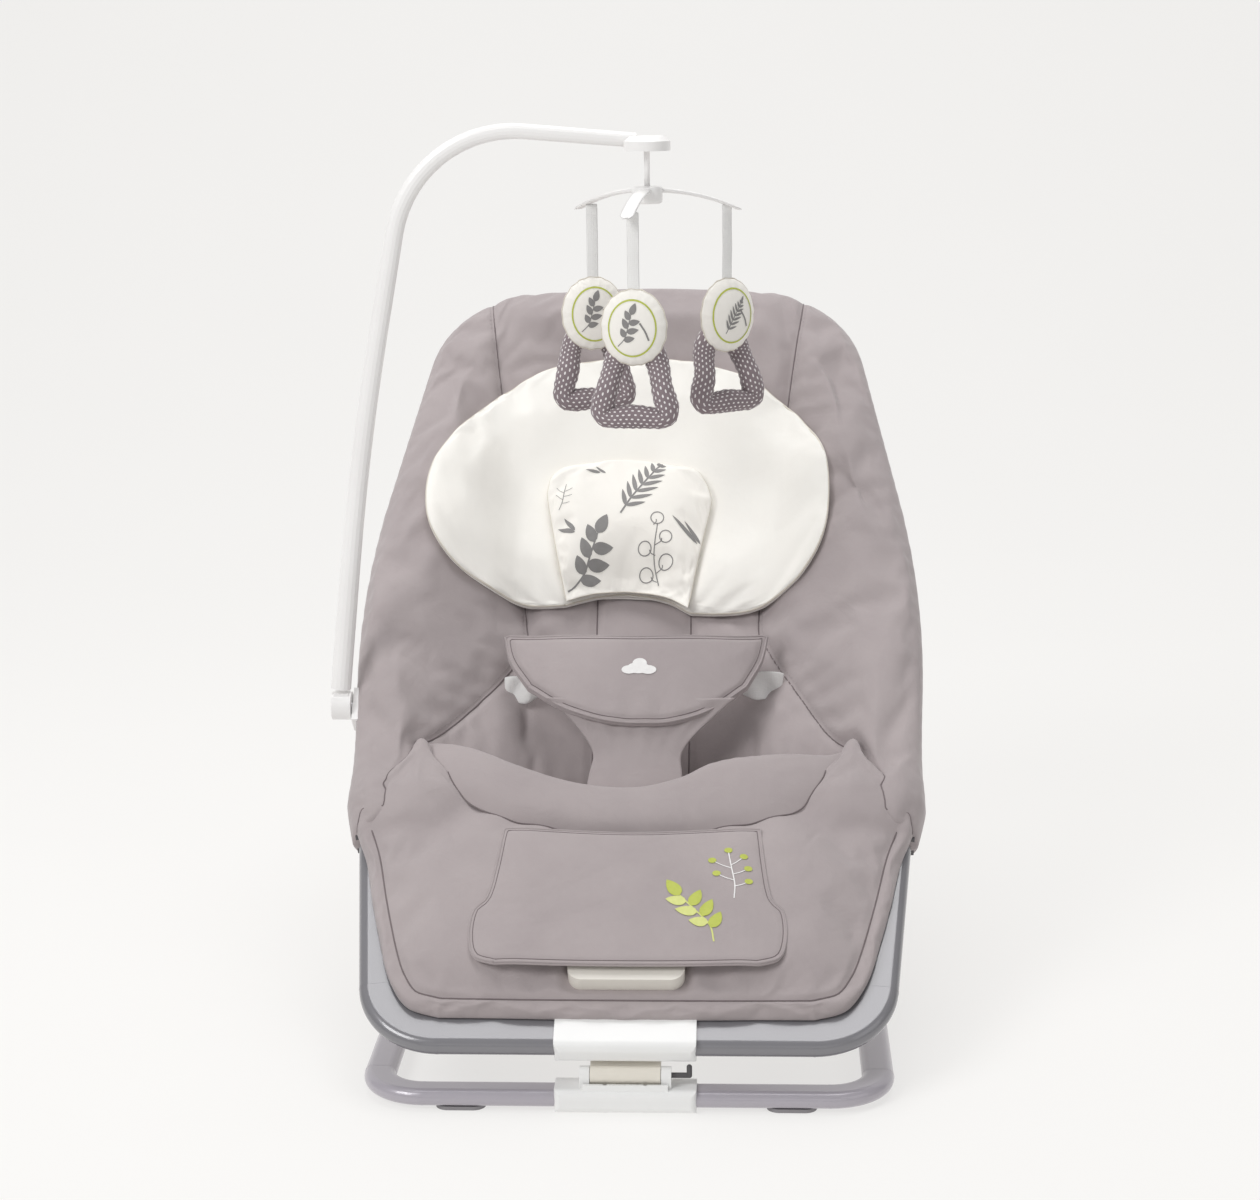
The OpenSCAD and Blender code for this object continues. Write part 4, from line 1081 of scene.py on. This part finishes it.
def oval_sprig():
    """Leafy sprig: a bent stem with oval leaves on both sides."""
    bend = [(0, 0), (2, 14), (-3, 30), (-8, 44)]
    line = curve(bend, 40)
    shapes = [stem(bend, 1.1)]
    for at, side, length in ((10, -1, 15), (14, 1, 13), (20, -1, 16), (24, 1, 15), (30, -1, 15), (34, 1, 14)):
        shapes.append(leaf(line[at], 98 + side * 52, length, 8.2))
    shapes.append(leaf(line[40], 104, 16, 9))
    return shapes


def fern():
    bend = [(0, 0), (1.5, 20), (6, 48)]
    shapes = [stem(bend, 1.2)]
    line = curve(bend, 30)
    for k in range(4, 29, 4):
        reach = 15 * math.sin(math.pi * (0.25 + 0.7 * k / 30))
        for side in (-1, 1):
            shapes.append(leaf(line[k], 82 + side * 44, reach, 3.0))
    return shapes + [leaf(line[29], 82, 9, 3.4)]


def berries():
    shapes = [stem([(0, 0), (1, 14), (-1, 30), (-3, 46)], 1.0)]
    tips = [((1, 12), (12, 17)), ((0.6, 18), (-13, 25)), ((0, 24), (12, 30)), ((-1, 30), (-16, 38)),
        ((-1.5, 33), (9, 42)), ((-3, 44), (-3, 48))]
    shapes += [stem([a, (np.array(a) + b) / 2 + (0, -0.8), b], 0.8) for a, b in tips]
    return shapes, [blob(np.array(b, float), 3.3, 2.7) for _, b in tips]


def heart_twig():
    shapes = [stem([(0, 0), (-2, 18), (2, 40)], 0.7)]
    for (x, y), r in (((-8, 8), 5), ((6, 14), 5.2), ((-8, 24), 4.8), ((7, 30), 4.6), ((2, 44), 4.8)):
        shapes.append(ring_shape(np.array([x, y], float), r, r - 0.7))
        shapes.append(stem([(-1, y - 5), (x / 2, y - 3), (x * 0.6, y - 1)], 0.6))
    return shapes


cushion_tree = tree_of(cushion)
berry_stems, berry_dots = berries()
CUSHION_PRINTS = {
    "a": (fern(), (-22, 322), -26, 1.45),
    "b": (oval_sprig(), (-70, 250), -38, 1.3),
    "c": (heart_twig(), (14, 258), 4, 1.35),
    "d": ([leaf((0, 0), 128, 34, 4.5), leaf((3, 0), 120, 26, 3.6)], (50, 296), 6, 1.0),
    "e": (berry_stems, (-80, 326), -16, 0.6),
    "f": ([leaf((0, 0), 160, 22, 6), leaf((0, 2), 128, 22, 5)], (-64, 302), 0, 0.8),
    "g": ([leaf((0, 0), 150, 20, 5), leaf((6, -4), 120, 17, 4)], (-42, 368), 24, 0.7),
}
cushion_prints = joined("head_cushion_prints", [
    drawn(f"print_{letter}", shapes, cushion_tree, BACK, place, turn, size, INK)
    for letter, (shapes, place, turn, size) in CUSHION_PRINTS.items()
])

flap_tree = tree_of(flap)
sprig = oval_sprig()
SPRIG_AT, BERRIES_AT = ((70, 62), 20, 1.25), ((86, 108), 2, 1.05)
embroidery = joined("flap_embroidery", [
    drawn(name, shapes, flap_tree, SEAT, *where, colour, lift)
    for name, shapes, where, colour, lift in (
        ("sprig_stem", sprig[:1], SPRIG_AT, PALE_GREEN, 0.5),
        ("sprig_dark", sprig[1::2], SPRIG_AT, GREEN, 0.6),
        ("sprig_pale", sprig[2::2], SPRIG_AT, PALE_GREEN, 0.6),
        ("berry_stem", berry_stems, BERRIES_AT, WHITE_THREAD, 0.5),
        ("berry_dots", berry_dots, BERRIES_AT, GREEN, 0.6),
    )
])
belly_tree = tree_of(belly)
CLOUD = [((0, 0), 9, 5), ((-7, -1.5), 6, 3.8), ((7.5, -1.5), 6.5, 4), ((1, 4.2), 5.6, 4.6)]
badge = joined("belly_cloud", [
    drawn(f"cloud_{i}", [blob(np.array(p, float), rx, ry)], belly_tree, BELLY, (0, 44), 0, 1.15, WHITE_THREAD,
        0.5 + 0.06 * i)
    for i, (p, rx, ry) in enumerate(CLOUD)
])


# --- Waist straps ---
def strap(name, side, start, end, top, fold):
    """Crumpled webbing from the belly panel back into the cover."""
    s = np.linspace(0, 1, 25)[:, None]
    across = np.linspace(-1, 1, 9)[None]
    x = mix(start[0], end[0], s) + side * fold * np.sin(s * 7 + across * 1.2) * (0.4 + 0.6 * across)
    y = mix(start[1], end[1], s) + 2.5 * np.sin(s * 11 + across * 2)
    z = mix(start[2], end[2], s) + across * mix(14, top, s) + 1.8 * np.sin(s * 9)
    grid = np.stack(np.broadcast_arrays(x, y, z), -1).transpose(1, 0, 2)
    return subdivided(shell(name, grid, thickened(grid, 1.3), WEBBING))


strap_left = strap("waist_strap_left", -1, (-80, 322, 266), (-124, 346, 250), 14, 1.2)
strap_right = strap("waist_strap_right", 1, (74, 322, 270), (128, 346, 254), 14, 3.0)

# --- Toys ---
ARM_Y, MOBILE_X, MOBILE_Z = 278.082, 13.0, 704.0
SPIDER_R, DROOP_R, HANG_R = 84.0, 200.0, 68.5
TIP_Z = MOBILE_Z - DROOP_R + math.sqrt(DROOP_R**2 - HANG_R**2)
# Each toy: its name, its arm's angle, the way it faces, and whether it carries the fern.
TOYS = [("left", 140, 15, 0), ("front", -100, -8, 0), ("right", 20, 36, 1)]
RIBBON_TOP, RIBBON_LENGTH = 2.0, 68
DISC_V, DISC_W, DISC_H = -94, 27.6, 31.5  # the disc's middle under the arm's tip, half its width and height
RIM_COUNT = 96


def make_spider():
    """Three flat drooping arms and the hub between them, with the stem."""
    parts = []
    for number, (_, angle, _, _) in enumerate(TOYS):
        a = math.radians(angle)
        along, across = np.array([math.cos(a), math.sin(a)]), np.array([-math.sin(a), math.cos(a)])
        r = np.linspace(0, SPIDER_R, 25)[:, None]
        w = 6.2 * np.sqrt(np.clip((SPIDER_R + 0.8 - r) / 7, 0.02, 1)) * np.linspace(-1, 1, 7)[None]
        drop = MOBILE_Z - DROOP_R + np.sqrt(DROOP_R**2 - r**2) + 0 * w
        top = 4.2 - 0.9 * np.abs(np.linspace(-1, 1, 7)) ** 3 - 1.6 * (r / SPIDER_R)
        place = (
            MOBILE_X + 0 * w + along[0] * r + across[0] * w,
            ARM_Y + along[1] * r + across[1] * w,
        )
        low = np.stack([*place, drop + 0.2], -1)
        high = np.stack([*place, drop + top], -1)
        parts.append(shell(f"spider_arm_{number}", high, low, ARM_WHITE))
    count = 48
    turns = np.linspace(0, 2 * math.pi, count, endpoint=False)[None]
    hub = [(0, -9), (11, -9), (12.6, -8), (13, -6), (13, 3.4), (12.4, 4.7), (11, 5.2), (0, 5.4)]
    post = [(0, 4), (2.5, 4.2), (2.5, 44), (0, 44.2)]
    for name, outline in (("hub", hub), ("stem", post)):
        line = np.array(outline, float)[:, :, None]
        x, y = MOBILE_X + line[:, 0] * np.cos(turns), ARM_Y + line[:, 0] * np.sin(turns)
        ring = np.stack([x, y, MOBILE_Z + line[:, 1] + 0 * turns], -1)
        ids = np.arange(len(line) * count).reshape(-1, count)
        faces = grid_faces(np.hstack([ids, ids[:, :1]]))
        parts.append(add_mesh(f"spider_{name}", ring.reshape(-1, 3), faces, ARM_WHITE))
    return joined("mobile_spider_look", parts)


spider = make_spider()
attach(spider, "mobile")
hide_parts("mobile_spider")


def make_toy(key, arm_angle, turn, has_fern):
    """Ribbon, padded disc with its print, and the dotted ring under it."""
    a = math.radians(arm_angle)
    place = (MOBILE_X + 2.5 + HANG_R * math.cos(a), ARM_Y + HANG_R * math.sin(a))
    chart = Chart((*place, TIP_Z), math.pi / 2, math.radians(turn))
    s = np.linspace(0, 1, 15)[:, None]
    a = np.linspace(-1, 1, 5)[None]
    bow = 0.8 * np.sin(s * np.pi) + 0.25 * np.sin(s * 14)
    grid = chart.out(a * 6 + 0 * s, RIBBON_TOP - s * RIBBON_LENGTH, bow + 0.35 * np.cos(a * 3) + 0 * s)
    ribbon = shell(f"ribbon_{key}", grid[::-1], thickened(grid[::-1], 0.9), WEBBING)
    subdivided(ribbon)
    rim = []
    for t in np.linspace(0, 2 * math.pi, RIM_COUNT + 1):
        wide = DISC_W * math.cos(t) * (1 + 0.012 * math.sin(t * 17))
        high = DISC_H * math.sin(t) * (1 + 0.012 * math.cos(t * 19))
        rim.append((wide, DISC_V + high))
    rim = np.array(rim)

    def part(start, end):
        return rim[np.arange(start, end + 1) % RIM_COUNT]

    sides = part(60, 84), part(12, 36)[::-1], part(36, 60)[::-1], part(-12, 12)
    flat = coons(*(spaced(side, 32, 0.4) for side in sides), 0.4)
    x, z = flat[..., 0], flat[..., 1]
    q = distance(flat, rim)
    angle = np.arctan2(z - DISC_V, x)
    pucker = 1 + 0.09 * np.sin(angle * 23) * np.exp(-q / 7)
    puffed = (10.6 * (1 - (1 - np.clip(q / 27, 0, 1)) ** 2.3) ** 0.62) * pucker
    puffed = np.where(q > 1e-6, puffed, 0)
    head = shell(f"toy_head_{key}", chart.out(x, z, puffed), chart.out(x, z, -puffed), PRINT)
    subdivided(head)
    tree = tree_of(head)
    oval = ring_shape(np.array([0.0, 0.0]), 1.0, 0.94, 64) * (20.5, 24.0)
    border = drawn(f"border_{key}", [oval], tree, chart, (0, DISC_V), 0, 1.0, GREEN, 0.35)
    shapes, place, lean, size = (fern(), (-8, -109), -24, 0.66) if has_fern else (oval_sprig(), (-12, -109), -34, 0.64)
    art = drawn(f"art_{key}", shapes, tree, chart, place, lean, size, INK)
    twig = drawn(f"twig_{key}", [stem([(0, 0), (-3, 8), (-8, 16)], 1.6)], tree, chart, (14, -104), 0, 0.9, INK)
    marks = joined(f"toy_marks_{key}", [border, art, twig])
    corners = [(0, -114), (13, -115), (18, -125), (23, -144), (27.5, -161), (26, -167.5), (19, -169.5), (0, -168.5),
        (-19, -169.5), (-26, -167.5), (-27.5, -161), (-23, -144), (-18, -125), (-13, -115)]
    path = curve(corners, RIM_COUNT, closed=True)[:-1]
    phase = np.arange(RIM_COUNT) * 2 * np.pi / RIM_COUNT
    radius = 9.5 + 0.35 * np.sin(phase * 26) + 0.5 * np.sin(phase * 5 + turn)
    hang = chart.out(path[:, 0], path[:, 1], -9.5 * ramp(path[:, 1], -150, -122))
    around = tube(f"toy_ring_{key}", hang, radius, DOTS, 24, True, up=chart.axes[2])
    edge = tube(f"toy_seam_{key}", chart.out(*rim[:-1].T, 0.0), 0.6, CREAM_EDGE, 6, True, up=chart.axes[2])
    body = f"toy_{key}"
    for made, slot in ((ribbon, "webbing"), (head, "print_fabric"), (marks, "print_fabric"),
            (around, "dotted_fabric"), (edge, "print_fabric")):
        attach(made, body)
    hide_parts(f"toy_{key}_ribbon")
    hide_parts(f"toy_{key}_head")
    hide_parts(f"toy_{key}_ring")


for toy in TOYS:
    make_toy(*toy)

# --- What moves with what ---
for made in (cover, cover_seams, cover_stitches):
    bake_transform(made)
RIDERS = {
    "seat": [(leg_rest, "mauve_fabric"), (leg_seams, "mauve_fabric"), (knee_crease, "mauve_fabric"),
        (leg_creases, "mauve_fabric"), (knee, "mauve_fabric"), (crotch, "mauve_fabric"),
        (belly, "mauve_fabric"), (belly_piping, "mauve_fabric"), (belly_seam, "mauve_fabric"), (badge, "mauve_fabric"),
        (strap_left, "webbing"), (strap_right, "webbing")],
    "flap": [(flap, "mauve_fabric"), (flap_piping, "mauve_fabric"), (flap_seam, "mauve_fabric"),
        (embroidery, "mauve_fabric")],
    "backrest": [(support, "cream_fabric"), (support_piping, "cream_fabric"), (cushion, "print_fabric"),
        (cushion_seam, "print_fabric"), (cushion_prints, "print_fabric")],
}
for body, made in RIDERS.items():
    for piece, slot in made:
        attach(piece, body)
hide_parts("back_pad", "wing_left", "wing_right")
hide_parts("leg_rest_pad")
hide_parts("knee_roll", "seat_pocket")
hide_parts("crotch_pad")
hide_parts("belly_panel")
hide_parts("waist_straps")
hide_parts("waist_straps")
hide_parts("front_flap")
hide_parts("head_support")
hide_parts("head_cushion")

# --- Floor, light and camera ---
def floor():
    n = Nodes("floor")
    spot = n.coords("Object")
    n.colour(n.blend(n.noise(spot, 3, 2), srgb(140, 139, 138), srgb(143, 142, 141)))
    n.rough(n.span(n.noise(spot, 300, 3), 0.85, 0.95))
    n.set(Specular_IOR_Level=0.1, Emission_Color=srgb(246, 245, 243), Emission_Strength=0.71)
    front, sweep_y, sweep_r, top = -4200.0, 1500, 1600, 5200
    line = [(front, 0.0), (sweep_y, 0.0)]
    for t in np.linspace(0, math.pi / 2, 24)[1:]:
        line.append((sweep_y + sweep_r * math.sin(t), sweep_r - sweep_r * math.cos(t)))
    line = np.array(line + [(sweep_y + sweep_r, top)])
    across = np.linspace(-5200, 5200, 3)[None]
    grid = np.stack(np.broadcast_arrays(across, line[:, :1], line[:, 1:]), -1)
    ids = np.arange(len(line) * 3).reshape(-1, 3)
    made = add_mesh("floor", grid.reshape(-1, 3), grid_faces(ids), n.material)


def light(name, place, aim, size, power):
    """White rectangular lamp; lengths in metres."""
    lamp = bpy.data.lights.new(name, "AREA")
    lamp.shape = "RECTANGLE"
    lamp.size, lamp.size_y = size
    lamp.energy = power
    obj = bpy.data.objects.new(name, lamp)
    obj.location = place
    obj.rotation_mode = "QUATERNION"
    obj.rotation_quaternion = (Vector(aim) - Vector(place)).to_track_quat("-Z", "Y")
    SCENE.collection.objects.link(obj)


floor()
light("key", (-2.0, -1.7, 2.4), (0, 0.25, 0.3), (1.5, 1.5), 54)
light("fill", (2.2, -1.4, 1.5), (0, 0.2, 0.3), (1.6, 1.6), 6)
light("top", (0.1, 0.6, 2.9), (0, 0.3, 0.2), (2.0, 1.6), 40)
light("front", (0.2, -2.7, 1.0), (0, 0, 0.2), (2.6, 0.5), 4)
world = bpy.data.worlds.new("studio")
world.use_nodes = True
world.node_tree.nodes["Background"].inputs[0].default_value = (0.94, 0.94, 0.94, 1)
world.node_tree.nodes["Background"].inputs[1].default_value = 0.3
SCENE.world = world
SCENE.view_settings.view_transform = "Standard"

DISTANCE, HEIGHT = 1.857, 0.830  # metres
SENSOR, LENS = 36, 500 / 7
AZIMUTH, LOOK, PITCH, ROLL = map(math.radians, (3.1, 2.85, 12.63, -0.7))
camera = bpy.data.objects.new("camera", bpy.data.cameras.new("camera"))
SCENE.collection.objects.link(camera)
camera.location = (DISTANCE * math.sin(AZIMUTH), -DISTANCE * math.cos(AZIMUTH), HEIGHT)
camera.rotation_mode = "QUATERNION"
forward = Vector((-math.sin(LOOK) * math.cos(PITCH), math.cos(LOOK) * math.cos(PITCH), -math.sin(PITCH)))
camera.rotation_quaternion = forward.to_track_quat("-Z", "Y") @ Quaternion((0, 0, 1), ROLL)
camera.data.sensor_width = SENSOR
camera.data.lens = LENS
SCENE.camera = camera
